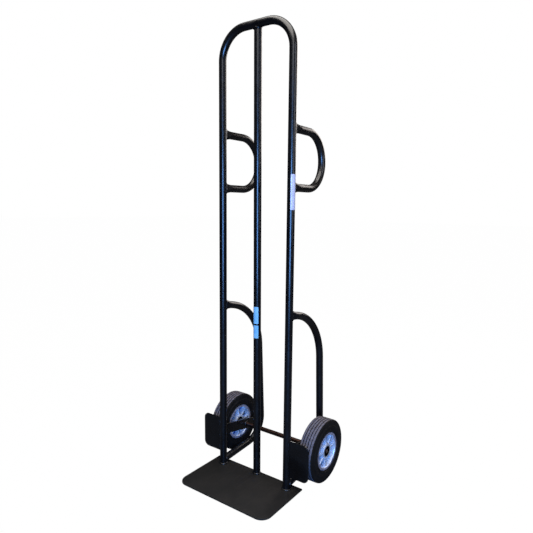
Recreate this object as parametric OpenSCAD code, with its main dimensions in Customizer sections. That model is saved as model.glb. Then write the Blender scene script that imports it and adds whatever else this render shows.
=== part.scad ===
// Tall two-wheel hand truck: a bent steel tube frame with a centre tube, a flat toe plate,
// two D handles, two wheel frames, and two solid tyred wheels on ball bearings.
// Millimetres. +Z is up, +X runs along the axle, -Y is the toe plate side.
// The origin is on the floor, midway between the rails, on the line of their centres.

/* [Frame] */
// Height from the floor to the top of the crossbar
overall_h = 1524; // [1250:1:1850]
// Distance between the centre lines of the two rails
rail_spacing = 282; // [235:1:340]
// Outside diameter of every frame tube
tube_d = 25.4; // [22:0.1:30.5]
// Wall thickness of every frame tube
tube_wall = 2; // [1.6:0.1:3]
// Centre-line radius of the two bends at the crossbar
top_bend_r = 93; // [60:1:110]
// How far the foot of the centre tube is set back behind the rails
center_foot_back = 19.5; // [10:0.5:25]
// How far the head of the centre tube is set back behind the crossbar
center_head_back = 8; // [0:0.5:10]

/* [Toe plate] */
// Width of the toe plate
toe_w = 374; // [310:1:450]
// Reach of the toe plate in front of the rail centres
toe_front = 184; // [150:1:230]
// Reach of the toe plate behind the rail centres
toe_rear = 29; // [24:0.5:34]
// Thickness of the toe plate
toe_t = 4.8; // [4:0.1:6.4]
// Radius of the two front corners of the toe plate
toe_corner_r = 36; // [20:1:50]

/* [Handles] */
// Height of the middle of the D handles above the floor
handle_mid_h = 1096; // [900:1:1140]
// Height of a D handle between the centre lines of its two arms
handle_h = 180; // [178:1:230]
// Reach of a D handle behind the rail, to its centre line
handle_reach = 189; // [158:1:230]
// Centre-line radius of the bends of a D handle
handle_bend_r = 88; // [70:1:88.5]
// Angle by which the D handles turn in towards the middle
handle_toe_in = 1.3; // [0:0.1:3]

/* [Wheel frames] */
// Height of the top arm of a wheel frame where it meets the rail
loop_top_h = 600; // [500:1:720]
// Drop of the top arm from the rail to its corner
loop_top_drop = 34; // [15:1:45]
// Distance of the top corner of a wheel frame behind the rail
loop_top_back = 198; // [190:0.5:230]
// Centre-line radius of the upper bend of a wheel frame
loop_top_r = 192; // [120:1:193]
// Height of the lower corner of a wheel frame
loop_low_h = 34; // [28:0.5:44]
// Distance of the lower corner of a wheel frame behind the rail
loop_low_back = 225; // [215:0.5:260]
// Centre-line radius of the lower bend of a wheel frame
loop_low_r = 83; // [66:1:99]
// Angle by which the wheel frames turn in towards the middle
loop_toe_in = 0.9; // [0:0.1:2]
// Length over which the end of a bent tube is pressed from round to tall and narrow
flat_len = 28; // [22:1:30]
// Height of a pressed tube end where it meets the rail
flat_h = 33; // [28:1:38]
// Width of a pressed tube end where it meets the rail
flat_w = 15; // [12:0.5:20]

/* [Axle] */
// Distance of the axle behind the rails
axle_back = 128; // [107:1:150]
// Diameter of the axle
axle_d = 15.875; // [14:0.005:19.1]
// Height of the flat bar of an axle bracket
bracket_h = 38; // [32:1:46]
// Thickness of the flat bar of an axle bracket
bracket_t = 6; // [4:0.5:8]
// Slope of an axle bracket, down towards the back
bracket_slope = 11.5; // [0:0.5:15]
// Outside diameter of the sleeves between the brackets and the wheels
sleeve_d = 21.5; // [20:0.1:24]

/* [Wheel guards] */
// Distance of the outer edge of a wheel guard outside the centre of its rail
guard_reach = 88; // [59:1:119]
// Height of the lower edge of a wheel guard
guard_low_h = 52; // [40:1:60]
// Height of the upper edge of a wheel guard
guard_top_h = 180; // [150:1:216]
// Thickness of a wheel guard
guard_t = 3.4; // [2.5:0.1:5]
// Distance of a wheel guard in front of the rail centres
guard_front = 5; // [0:0.5:7]
// Radius of the two outer corners of a wheel guard
guard_corner_r = 20; // [8:1:30]

/* [Wheels] */
// Diameter of a tyre
tyre_d = 217; // [180:1:240]
// Width of a tyre across its side walls
tyre_w = 60; // [56:0.5:68]
// Distance of the middle of a wheel outside the centre of its rail
wheel_offset = 55.3; // [49:0.1:94]
// Width of a hub over its two flanges
hub_w = 56; // [53:0.5:60]
// Outside radius of the flanges of a hub
flange_r = 65; // [60:0.5:72]
// Outside radius of the barrel that the tyre sits on
barrel_r = 60; // [54:0.5:62]
// Number of ribs on each face of a hub
rib_count = 8; // [4:4:12]
// Number of tread grooves
groove_count = 4; // [2:1:5]
// Width of a tread groove
groove_w = 3.2; // [2:0.1:4]
// Depth of a tread groove
groove_depth = 3; // [1.5:0.1:5]

/* [Bearings] */
// Height of a wheel bearing's section, from its bore to its outside
bearing_section = 9.5125; // [8.6:0.0125:11]
// Width of a wheel bearing
bearing_w = 12.7; // [11:0.1:14]
// Depth of a bearing below the end of the hub's boss
bearing_depth = 9; // [8:0.1:12]
// Diameter of a bearing ball
ball_d = 5.6; // [5:0.1:6]
// Number of balls in one bearing
ball_count = 14; // [8:1:14]

/* [Fasteners] */
// Diameter of a hub bolt
bolt_d = 8; // [6:0.5:9]
// Radius of the circle of hub bolts
bolt_circle_r = 41; // [39:0.5:44]
// Diameter of the wire of a cotter pin
cotter_d = 3; // [2.4:0.1:3.6]
// Thickness of the washer outside each wheel
washer_t = 2; // [1.5:0.1:2.2]

/* [Labels] */
// Height of the lower edge of the centre tube's label
front_label_low_h = 501; // [450:1:540]
// Height of the upper edge of the lower part of that label
front_label_seam_h = 546; // [505:1:600]
// Bare tube left between the two parts of that label
front_label_gap = 5; // [0.5:0.5:12]
// Height of the upper edge of the upper part of that label
front_label_top_h = 610; // [560:1:800]
// Height of the lower edge of the rail's label
side_label_low_h = 937; // [850:1:1000]
// Height of the upper edge of the rail's label
side_label_top_h = 1046; // [1001:1:1100]
// Angle of tube that a label covers
label_wrap = 110; // [60:1:140]
// Direction in which the rail's label faces, measured from the front towards the outside
side_label_turn = 80; // [0:1:90]

/* [Hidden] */
$fn = 96;

LEFT = -1;
RIGHT = 1;

// Clearances
cut_over = 1;              // how far a cutting shape runs past the face it cuts
run_gap = 0.05;            // between a race and its balls, and between a race and the axle
seat_gap = 0.03;           // between a bearing's outer race and its seat in the hub
fit_gap = 0.3;             // between loose pieces, and round the axle in its brackets
face_gap = 0.2;            // between faces that turn past each other
bolt_gap = 0.3;            // round a bolt in its hole
label_t = 0.3;             // thickness of a label
label_gap = 0.02;          // glue line under a label
arm_lift = 0.6;            // between the lower arm of a wheel frame and the toe plate

// Frame
join_over = 0.5;           // how far a straight tube runs into a bend
bend_swell = 0.25;         // how much fatter a tube is in its bends
tube_r = tube_d / 2;
bore_r = tube_r - tube_wall;
rail_x = rail_spacing / 2;
wheel_out = rail_x + wheel_offset;                  // middle of a wheel from the middle of the truck
crossbar_h = overall_h - tube_r;
center_lean = atan((center_foot_back - center_head_back) / crossbar_h);
center_trim = 4;           // how far below the crossbar's centre the centre tube is cut square

// Paths of the bent tubes, as [distance behind the rail, height]
frame_path = [[-rail_x, toe_t], [-rail_x, crossbar_h], [rail_x, crossbar_h], [rail_x, toe_t]];
handle_low = handle_mid_h - handle_h / 2;
handle_top = handle_mid_h + handle_h / 2;
flat_end = tube_r + flat_len;
handle_path = [[flat_end, handle_low], [handle_reach, handle_low],
               [handle_reach, handle_top], [flat_end, handle_top]];
loop_corner = [loop_top_back, loop_top_h - loop_top_drop];
loop_dir = [cos(loop_slope()), -sin(loop_slope())];
loop_foot_h = toe_t + tube_r + arm_lift;
room_step = 1.5;           // spacing of the bars that clear the room behind a rear tube, in tube radii
notch_trim = tube_r / 4;   // a notched end is cut back this far, so that it has no knife edge
loop_path = [[0, loop_top_h] + loop_dir * flat_end, loop_corner,
             [loop_low_back, loop_low_h], [notch_trim, loop_foot_h]];
function loop_slope() = atan(loop_top_drop / loop_top_back);

// Pressed tube ends
flat_root = tube_r / 2;    // where the pressed end starts, inside the rail it is notched round
disc_t = 0.5;              // thickness of the slices that a pressed end is blended between
slice_gap = 0.25;          // keeps the round slice inside the tube's wall
blend_fn = 32;

// Axle and wheels
axle_r = axle_d / 2;
axle_h = tyre_d / 2;
boss_short = 2;            // from the face of a flange in to the end of the boss
boss_wall = 8.5;           // wall of the boss round a bearing seat
shoulder_in = 4;           // how far the shoulder behind a bearing stands in
boss_half = hub_w / 2 - boss_short;                 // half the length of a hub's boss
seat_half = boss_half - bearing_depth;              // outer face of a bearing from mid-wheel
race_in_half = seat_half - bearing_w;               // inner face of a bearing from mid-wheel
seat_r = axle_r + bearing_section + seat_gap;
boss_r = seat_r + boss_wall;
shoulder_r = seat_r - shoulder_in;
web_t = 4;
flange_t = 4;
barrel_wall = 5;
rib_t = 4;
rib_set_back = 8;          // from the face of a flange in to the top of the ribs
rib_top = hub_w / 2 - rib_set_back;
rib_over = 2;              // how far a rib runs into the boss and the barrel
bolt_count = 4;
bolt_pad_r = bolt_d;
bolt_pad_t = 3;
bolt_turn = 180 / rib_count;
hex_share = 1.6;           // width of a bolt head or nut across its flats, as a share of bolt_d
head_share = 0.65;         // height of a bolt head, as a share of bolt_d
nut_share = 0.8;           // height of a nut, as a share of bolt_d
hex_r = bolt_d * hex_share / sqrt(3);
bolt_head_t = bolt_d * head_share;
nut_t = bolt_d * nut_share;
bolt_tail = 2;             // how far a bolt stands out of its nut
bolt_face = web_t + bolt_pad_t;

// Bearing rings
ball_r = ball_d / 2;
pitch_shift = 0.3;         // the ball circle lies this far outside the middle of the rings
pitch_r = (axle_r + run_gap + seat_r - seat_gap) / 2 + pitch_shift;
land_share = 0.65;         // where a race's shoulder ends, as a share of the ball's radius
race_land = ball_r * land_share;
race_bore_r = axle_r + run_gap;

// Outer end of the axle
washer_face = wheel_out + seat_half + face_gap;
washer_outer = washer_face + washer_t;
cotter_x = washer_outer + cotter_d / 2 + face_gap + fit_gap;
axle_tail = 5;             // from the middle of a cotter pin to the end of the axle
axle_half = cotter_x + axle_tail;
washer_in = 2.5;           // from the bearing seat in to the washer's edge
washer_r = seat_r - washer_in;
cotter_split = cotter_d * 0.6;                      // from the axle to where the two legs part
cotter_leg_turn = 35;      // angle by which each leg is bent aside
cotter_leg_len = 5;
cotter_leg_r = cotter_d * 0.38;
cotter_eye_r = 2.6;
cotter_eye_wire = cotter_d * 0.32;

// Tyre outline, as [radius, distance from mid-wheel]
tyre_r = tyre_d / 2;
wall_half = tyre_w / 2;
tyre_bore_r = barrel_r + run_gap;
tyre_seat_half = hub_w / 2 - flange_t - run_gap;
shoulder_share = 0.15;     // radius of the tyre's shoulders, as a share of its height over the flange
shoulder_round = (tyre_r - flange_r) * shoulder_share;
wall_bulge = 3;            // how far the side wall stands out past the edge of the tread
tread_half = wall_half - wall_bulge;
arc_steps = 8;
bead_w = 3;                // width of the sloping edge next to the flange
bead_drop = 0.7;           // how far that edge lies inside the side wall
bead_slope_w = 10;         // from the flange to where the side wall is flat
wall_step_share = 0.55;    // where the side wall steps in, as a share of its height
wall_step_t = 1.2;         // depth of that step
groove_keep = 0.45;        // share of each shoulder that the grooves leave clear

// ---------------------------------------------------------------- shared shapes

function turn_between(a, b, c) =
    let (u = b - a, v = c - b) atan2(u[0] * v[1] - u[1] * v[0], u * v);
function heading(a, b) = atan2(b[1] - a[1], b[0] - a[0]);
function unit(a, b) = (b - a) / norm(b - a);
// Length of straight tube that a bend at point i takes up
function bend_take(path, radii, i) =
    (i == 0 || i == len(path) - 1) ? 0
    : radii[i - 1] * tan(abs(turn_between(path[i - 1], path[i], path[i + 1])) / 2);

module ring(outer, inner, h) {
    linear_extrude(h)
        difference() {
            circle(outer);
            circle(inner);
        }
}

// Solid bar along a flat path in the XY plane, with one bend radius for each inner point.
// Both ends run on by over, and the bends are a hair fatter, so that they join cleanly.
module bent_bar(path, radii, r, over) {
    last = len(path) - 1;
    for (i = [0 : last - 1]) {
        way = unit(path[i], path[i + 1]);
        a = path[i] + way * (bend_take(path, radii, i) - (i == 0 ? over : join_over));
        b = path[i + 1] - way * (bend_take(path, radii, i + 1) - (i == last - 1 ? over : join_over));
        translate([a[0], a[1], 0])
            rotate([0, 90, heading(a, b)]) cylinder(h = norm(b - a), r = r);
    }
    for (i = [1 : last - 1]) {
        turn = turn_between(path[i - 1], path[i], path[i + 1]);
        back = unit(path[i], path[i - 1]);
        ahead = unit(path[i], path[i + 1]);
        middle = path[i] + unit([0, 0], back + ahead) * radii[i - 1] / cos(turn / 2);
        start = heading(path[i - 1], path[i]) - sign(turn) * 90;
        translate([middle[0], middle[1], 0])
            rotate([0, 0, min(start, start + turn)])
                rotate_extrude(angle = abs(turn)) translate([radii[i - 1], 0]) circle(r + bend_swell);
    }
}

// Tube along the same kind of path, open at both ends
module bent_tube(path, radii) {
    difference() {
        bent_bar(path, radii, tube_r, 0);
        bent_bar(path, radii, bore_r, cut_over);
    }
}

// Stands a flat path up: its X runs back along +Y and its Y runs up along +Z
module stand_up() {
    multmatrix([[0, 0, 1, 0], [1, 0, 0, 0], [0, 1, 0, 0], [0, 0, 0, 1]]) children();
}

// Places a shape on the centre line of one rail, turned in towards the middle
module at_rail(side, toe_in) {
    translate([side * rail_x, 0, 0]) rotate([0, 0, side * toe_in]) children();
}

module rail_bar() {
    cylinder(h = overall_h, r = tube_r);
}

// Slice of a pressed tube end: tall and narrow, across the tube's X direction
module flat_slice(shrink) {
    for (up = [-1, 1])
        translate([flat_root, up * (flat_h - flat_w) / 2, 0])
            rotate([0, 90, 0]) cylinder(h = disc_t, r = flat_w / 2 - shrink, $fn = blend_fn);
}

// Slice inside the wall of the round tube, where the pressed end runs into it
module round_slice(shrink) {
    translate([flat_end, 0, 0])
        rotate([0, 90, 0]) cylinder(h = disc_t, r = tube_r - shrink, $fn = blend_fn);
}

// End of a tube, blended from round to tall and narrow where it meets the rail
module pressed_end() {
    difference() {
        hull() {
            flat_slice(0);
            round_slice(slice_gap);
        }
        hull() {
            flat_slice(tube_wall);
            round_slice(tube_wall - slice_gap * 2);
        }
    }
}

// ---------------------------------------------------------------- welded frame

module main_frame_tube() {
    color("black")
        rotate([90, 0, 0]) bent_tube(frame_path, [top_bend_r, top_bend_r]);
}

// Places a shape on the leaning centre tube, whose foot is at height 0
module at_center_tube() {
    translate([0, center_foot_back, 0]) rotate([center_lean, 0, 0]) children();
}

module center_tube() {
    color("black")
        difference() {
            at_center_tube()
                translate([0, 0, -tube_r]) ring(tube_r, bore_r, crossbar_h + tube_d);
            translate([-tube_d, -tube_d, -tube_d]) cube([tube_d * 2, tube_d * 4, tube_d + toe_t]);
            translate([-tube_d, -tube_d, crossbar_h - center_trim])
                cube([tube_d * 2, tube_d * 4, tube_d * 3]);
            translate([-rail_x, 0, crossbar_h])
                rotate([0, 90, 0]) cylinder(h = rail_spacing, r = tube_r);
        }
}

module toe_plate() {
    half = toe_w / 2;
    color([0.17, 0.16, 0.15])
        linear_extrude(toe_t)
            union() {
                translate([-half, toe_corner_r - toe_front])
                    square([toe_w, toe_front + toe_rear - toe_corner_r]);
                translate([toe_corner_r - half, -toe_front])
                    square([toe_w - 2 * toe_corner_r, toe_front]);
                for (side = [LEFT, RIGHT])
                    translate([side * (half - toe_corner_r), toe_corner_r - toe_front])
                        circle(toe_corner_r);
            }
}

module upper_handle(side) {
    color([0.13, 0.11, 0.10])
        at_rail(side, handle_toe_in)
            difference() {
                stand_up()
                    union() {
                        bent_tube(handle_path, [handle_bend_r, handle_bend_r]);
                        for (h = [handle_low, handle_top]) translate([0, h, 0]) pressed_end();
                    }
                rail_bar();
            }
}

module left_upper_handle() { upper_handle(LEFT); }
module right_upper_handle() { upper_handle(RIGHT); }

module wheel_frame(side) {
    color([0.10, 0.10, 0.11])
        at_rail(side, loop_toe_in)
            difference() {
                stand_up()
                    union() {
                        bent_tube(loop_path, [loop_top_r, loop_low_r]);
                        translate([0, loop_top_h, 0]) rotate([0, 0, -loop_slope()]) pressed_end();
                    }
                rail_bar();
            }
}

module left_wheel_frame() { wheel_frame(LEFT); }
module right_wheel_frame() { wheel_frame(RIGHT); }

// Distance behind the rail past which no bracket is left, at the middle of the rear tube
function bracket_reach() =
    loop_corner[0] + (loop_low_back - loop_corner[0])
    * (loop_corner[1] - axle_h) / (loop_corner[1] - loop_low_h);

// Room that a rear tube takes up, and the room just behind it
module rear_tube_room() {
    for (k = [0 : 2])
        translate([k * tube_r * room_step, 0, 0]) bent_bar(loop_path, [loop_top_r, loop_low_r], tube_r, 0);
}

module axle_bracket(side) {
    color([0.10, 0.10, 0.11])
        difference() {
            at_rail(side, loop_toe_in)
                difference() {
                    stand_up()
                        translate([axle_back, axle_h, 0])
                            rotate([0, 0, -bracket_slope])
                                translate([-axle_back, -bracket_h / 2, -bracket_t / 2])
                                    cube([loop_low_back, bracket_h, bracket_t]);
                    rail_bar();
                    stand_up() rear_tube_room();
                    stand_up()
                        translate([bracket_reach(), 0, -tube_r]) cube([tube_d * 2, overall_h / 2, tube_d]);
                    stand_up()
                        translate([-tube_d * 2, 0, -tube_r]) cube([tube_d * 2, overall_h / 2, tube_d]);
                }
            translate([side * rail_x - tube_d, axle_back, axle_h])
                rotate([0, 90, 0]) cylinder(h = tube_d * 2, r = axle_r + fit_gap);
        }
}
module left_axle_bracket() { axle_bracket(LEFT); }
module right_axle_bracket() { axle_bracket(RIGHT); }

module wheel_guard(side) {
    guard_h = guard_top_h - guard_low_h;
    color([0.07, 0.07, 0.07])
        difference() {
            translate([side * rail_x, guard_t / 2 - guard_front, guard_low_h])
                mirror([side == LEFT ? 1 : 0, 0, 0])
                    rotate([90, 0, 0])
                        linear_extrude(guard_t)
                            union() {
                                square([guard_reach - guard_corner_r, guard_h]);
                                translate([0, guard_corner_r])
                                    square([guard_reach, guard_h - 2 * guard_corner_r]);
                                for (h = [guard_corner_r, guard_h - guard_corner_r])
                                    translate([guard_reach - guard_corner_r, h]) circle(guard_corner_r);
                            }
            translate([side * rail_x, 0, 0]) rail_bar();
        }
}

module left_wheel_guard() { wheel_guard(LEFT); }
module right_wheel_guard() { wheel_guard(RIGHT); }

// ---------------------------------------------------------------- axle and what sits on it

// Places a shape drawn along +Z on the axle's line, pointing out of the truck on one side
module along_axle(side, out) {
    translate([side * out, axle_back, axle_h]) rotate([0, side * 90, 0]) children();
}

module axle() {
    color([0.20, 0.18, 0.17])
        difference() {
            along_axle(RIGHT, -axle_half) cylinder(h = axle_half * 2, r = axle_r);
            for (side = [LEFT, RIGHT])
                translate([side * cotter_x, axle_back, axle_h - axle_d])
                    cylinder(h = axle_d * 2, r = cotter_d / 2 + fit_gap);
        }
}

// Centre of the bracket's outer face on the axle's line
function bracket_face() = rail_x - axle_back * sin(loop_toe_in) + bracket_t / 2 + face_gap * 2;

module axle_sleeve(side) {
    color([0.25, 0.25, 0.27])
        along_axle(side, bracket_face())
            ring(sleeve_d / 2, race_bore_r, wheel_out - seat_half - face_gap - bracket_face());
}

module left_axle_sleeve() { axle_sleeve(LEFT); }
module right_axle_sleeve() { axle_sleeve(RIGHT); }

module axle_washer(side) {
    color("silver")
        along_axle(side, washer_face) ring(washer_r, axle_r + fit_gap, washer_t);
}

module left_axle_washer() { axle_washer(LEFT); }
module right_axle_washer() { axle_washer(RIGHT); }

// Split pin through the end of the axle, its eye up and its two legs spread
module cotter_pin(side) {
    color("dimgray")
        translate([side * cotter_x, axle_back, axle_h])
            union() {
                translate([0, 0, -axle_r - cotter_d])
                    cylinder(h = axle_d + cotter_d * 2, r = cotter_d / 2);
                translate([0, 0, axle_r + cotter_d + cotter_eye_r])
                    rotate([0, 90, 0])
                        rotate_extrude() translate([cotter_eye_r, 0]) circle(cotter_eye_wire);
                for (turn = [-1, 1])
                    translate([0, 0, -axle_r - cotter_split])
                        rotate([180 + turn * cotter_leg_turn, 0, 0])
                            cylinder(h = cotter_leg_len, r = cotter_leg_r);
            }
}

module left_cotter_pin() { cotter_pin(LEFT); }
module right_cotter_pin() { cotter_pin(RIGHT); }

// Puts a copy of a shape in each of a wheel's two bearing seats
module in_both_seats(side) {
    along_axle(side, wheel_out + race_in_half) children();
    along_axle(side, wheel_out - seat_half) children();
}

module race(r_in, r_out) {
    rotate_extrude()
        difference() {
            translate([r_in, 0]) square([r_out - r_in, bearing_w]);
            translate([pitch_r, bearing_w / 2]) circle(ball_r + run_gap);
        }
}

module bearing_inner_races(side) {
    color("silver") in_both_seats(side) race(race_bore_r, pitch_r - race_land);
}

module left_bearing_inner_races() { bearing_inner_races(LEFT); }
module right_bearing_inner_races() { bearing_inner_races(RIGHT); }

// Tube on the axle that keeps a wheel's two bearings apart
module bearing_spacer(side) {
    color("silver")
        along_axle(side, wheel_out - race_in_half + face_gap)
            ring(pitch_r - race_land, race_bore_r, (race_in_half - face_gap) * 2);
}

module left_bearing_spacer() { bearing_spacer(LEFT); }
module right_bearing_spacer() { bearing_spacer(RIGHT); }

// ---------------------------------------------------------------- labels

// Thin sheet wrapped round the front of a tube that stands on +Z
module wrapped_label(low, high, turn) {
    rotate([0, 0, turn - 90 - label_wrap / 2])
        translate([0, 0, low])
            rotate_extrude(angle = label_wrap)
                translate([tube_r + label_gap, 0]) square([label_t, high - low]);
}

module front_label_lower() {
    color([0.62, 0.87, 1.0])
        at_center_tube() wrapped_label(front_label_low_h, front_label_seam_h, 0);
}

module front_label_upper() {
    color([0.55, 0.80, 0.95])
        at_center_tube()
            wrapped_label(front_label_seam_h + front_label_gap, front_label_top_h, 0);
}

module side_label() {
    color("white")
        translate([rail_x, 0, 0])
            wrapped_label(side_label_low_h, side_label_top_h, side_label_turn);
}

// ---------------------------------------------------------------- wheels

// Places a shape drawn along +Z at mid-wheel, pointing out of the truck
module at_wheel(side) {
    along_axle(side, wheel_out) children();
}

// Rounded shoulder of the tyre, from the side wall to the tread
function shoulder_arc(up) =
    [for (i = [0 : arc_steps])
        let (t = 90 * (up > 0 ? i : arc_steps - i) / arc_steps)
        [tyre_r - shoulder_round + shoulder_round * sin(t),
         up * (tread_half - shoulder_round + shoulder_round * cos(t))]];
wall_r = flange_r + (tyre_r - flange_r) * wall_step_share;

module tyre_outline() {
    half_outline = [[tyre_bore_r, 0], [tyre_bore_r, tyre_seat_half],
                    [flange_r + fit_gap, tyre_seat_half], [flange_r + fit_gap, hub_w / 2],
                    [flange_r + bead_w, wall_half - bead_drop], [flange_r + bead_slope_w, wall_half],
                    [wall_r, wall_half], [wall_r + wall_step_t, wall_half - wall_step_t]];
    other_half = [for (i = [len(half_outline) - 1 : -1 : 1])
                  [half_outline[i][0], -half_outline[i][1]]];
    polygon(concat(half_outline, shoulder_arc(1), shoulder_arc(-1), other_half));
}

module tyre(side) {
    pitch = (tread_half - shoulder_round * groove_keep) * 2 / (groove_count + 1);
    color([0.08, 0.08, 0.08])
        at_wheel(side)
            rotate_extrude()
                difference() {
                    tyre_outline();
                    for (i = [1 : groove_count])
                        translate([tyre_r - groove_depth,
                                   (i - (groove_count + 1) / 2) * pitch - groove_w / 2])
                            square([groove_depth + cut_over, groove_w]);
                }
}

module left_tyre() { tyre(LEFT); }
module right_tyre() { tyre(RIGHT); }

// Half of a hub from mid-wheel outwards: web, boss, barrel, flange and ribs
module hub_half() {
    difference() {
        union() {
            rotate_extrude()
                union() {
                    translate([shoulder_r, face_gap / 2])
                        square([barrel_r - shoulder_r, web_t]);
                    translate([seat_r, face_gap / 2]) square([boss_r - seat_r, boss_half]);
                    translate([shoulder_r, face_gap / 2])
                        square([boss_r - shoulder_r, race_in_half - face_gap]);
                    translate([barrel_r - barrel_wall, face_gap / 2])
                        square([barrel_wall, hub_w / 2 - face_gap / 2]);
                    translate([barrel_r - barrel_wall, hub_w / 2 - flange_t])
                        square([flange_r - barrel_r + barrel_wall, flange_t]);
                }
            for (i = [0 : rib_count - 1])
                rotate([0, 0, i * 360 / rib_count])
                    translate([boss_r - rib_over, -rib_t / 2, web_t])
                        cube([barrel_r - barrel_wall - boss_r + rib_over * 2, rib_t, rib_top - web_t]);
            for (i = [0 : bolt_count - 1])
                rotate([0, 0, bolt_turn + i * 360 / bolt_count])
                    translate([bolt_circle_r, 0, web_t - cut_over])
                        cylinder(h = bolt_pad_t + cut_over, r = bolt_pad_r);
        }
        for (i = [0 : bolt_count - 1])
            rotate([0, 0, bolt_turn + i * 360 / bolt_count])
                translate([bolt_circle_r, 0, -cut_over])
                    cylinder(h = bolt_face + cut_over * 2, r = bolt_d / 2 + bolt_gap);
    }
}

// The inner half is the same casting as the outer one, turned over
module hub_outer_half(side) {
    color([0.75, 0.77, 0.82]) at_wheel(side) hub_half();
}
module hub_inner_half(side) {
    color([0.75, 0.77, 0.82]) at_wheel(side) mirror([0, 0, 1]) hub_half();
}

module left_hub_outer_half() { hub_outer_half(LEFT); }
module right_hub_outer_half() { hub_outer_half(RIGHT); }
module left_hub_inner_half() { hub_inner_half(LEFT); }
module right_hub_inner_half() { hub_inner_half(RIGHT); }

// Repeats a shape on the circle of hub bolts
module on_bolt_circle(side) {
    at_wheel(side)
        for (i = [0 : bolt_count - 1])
            rotate([0, 0, bolt_turn + i * 360 / bolt_count])
                translate([bolt_circle_r, 0, 0]) children();
}

module hub_bolts(side) {
    color("gainsboro")
        on_bolt_circle(side)
            union() {
                translate([0, 0, bolt_face])
                    cylinder(h = bolt_head_t, r = hex_r, $fn = 6);
                translate([0, 0, -bolt_face - nut_t - bolt_tail])
                    cylinder(h = bolt_face * 2 + nut_t + bolt_tail + cut_over, r = bolt_d / 2);
            }
}

module hub_nuts(side) {
    color("gainsboro")
        on_bolt_circle(side)
            translate([0, 0, -bolt_face - nut_t])
                difference() {
                    cylinder(h = nut_t, r = hex_r, $fn = 6);
                    translate([0, 0, -cut_over])
                        cylinder(h = nut_t + cut_over * 2, r = bolt_d / 2 + run_gap);
                }
}

module left_hub_bolts() { hub_bolts(LEFT); }
module right_hub_bolts() { hub_bolts(RIGHT); }
module left_hub_nuts() { hub_nuts(LEFT); }
module right_hub_nuts() { hub_nuts(RIGHT); }

module bearing_outer_races(side) {
    color("silver") in_both_seats(side) race(pitch_r + race_land, axle_r + bearing_section);
}

module left_bearing_outer_races() { bearing_outer_races(LEFT); }
module right_bearing_outer_races() { bearing_outer_races(RIGHT); }

module bearing_balls(side) {
    color("whitesmoke")
        in_both_seats(side)
            for (i = [0 : ball_count - 1])
                rotate([0, 0, i * 360 / ball_count])
                    translate([pitch_r, 0, bearing_w / 2]) sphere(ball_r);
}

module left_bearing_balls() { bearing_balls(LEFT); }
module right_bearing_balls() { bearing_balls(RIGHT); }

// ---------------------------------------------------------------- the object

main_frame_tube();
center_tube();
toe_plate();
left_upper_handle();
right_upper_handle();
left_wheel_frame();
right_wheel_frame();
left_axle_bracket();
right_axle_bracket();
left_wheel_guard();
right_wheel_guard();
axle();
left_axle_sleeve();
right_axle_sleeve();
left_axle_washer();
right_axle_washer();
left_cotter_pin();
right_cotter_pin();
left_bearing_inner_races();
right_bearing_inner_races();
left_bearing_spacer();
right_bearing_spacer();
front_label_lower();
front_label_upper();
side_label();
left_tyre();
right_tyre();
left_hub_outer_half();
right_hub_outer_half();
left_hub_inner_half();
right_hub_inner_half();
left_hub_bolts();
right_hub_bolts();
left_hub_nuts();
right_hub_nuts();
left_bearing_outer_races();
right_bearing_outer_races();
left_bearing_balls();
right_bearing_balls();
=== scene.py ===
"""Tall two-wheel hand truck: bent tube frame, toe plate, D handles, wheel frames and solid tyred wheels.

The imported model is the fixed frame. Each visible piece is rebuilt here round it, with smooth bends,
rounded plate edges, weld beads, ribbed cast hubs and grooved tyres, and its own procedural finish.
Metres. +Z is up, +X runs along the axle, -Y is the toe plate side.
"""
import math

import bmesh
import bpy
from mathutils import Matrix, Vector


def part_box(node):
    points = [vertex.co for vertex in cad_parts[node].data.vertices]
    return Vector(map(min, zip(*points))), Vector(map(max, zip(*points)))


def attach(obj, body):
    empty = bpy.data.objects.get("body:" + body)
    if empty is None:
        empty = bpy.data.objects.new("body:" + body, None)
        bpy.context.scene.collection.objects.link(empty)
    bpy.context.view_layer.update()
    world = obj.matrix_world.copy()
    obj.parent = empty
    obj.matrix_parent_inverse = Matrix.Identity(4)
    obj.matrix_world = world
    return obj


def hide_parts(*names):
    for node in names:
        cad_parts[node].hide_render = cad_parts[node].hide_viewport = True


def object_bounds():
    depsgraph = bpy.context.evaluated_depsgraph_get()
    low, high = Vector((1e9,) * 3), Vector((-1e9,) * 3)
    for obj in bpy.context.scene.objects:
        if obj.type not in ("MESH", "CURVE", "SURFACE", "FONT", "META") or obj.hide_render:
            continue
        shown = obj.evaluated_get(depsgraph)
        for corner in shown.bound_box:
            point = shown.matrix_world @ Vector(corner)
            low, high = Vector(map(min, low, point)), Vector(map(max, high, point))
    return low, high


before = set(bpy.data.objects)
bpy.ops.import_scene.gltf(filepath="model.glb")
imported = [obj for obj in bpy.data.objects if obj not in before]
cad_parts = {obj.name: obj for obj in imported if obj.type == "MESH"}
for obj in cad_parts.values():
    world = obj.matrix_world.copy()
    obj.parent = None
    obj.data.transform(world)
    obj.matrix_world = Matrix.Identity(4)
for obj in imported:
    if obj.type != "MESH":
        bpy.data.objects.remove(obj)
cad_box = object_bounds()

MM = 0.001
LEFT, RIGHT = -1, 1
SIDES = {"left": LEFT, "right": RIGHT}

# ---------------------------------------------------------------- sizes and places

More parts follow.
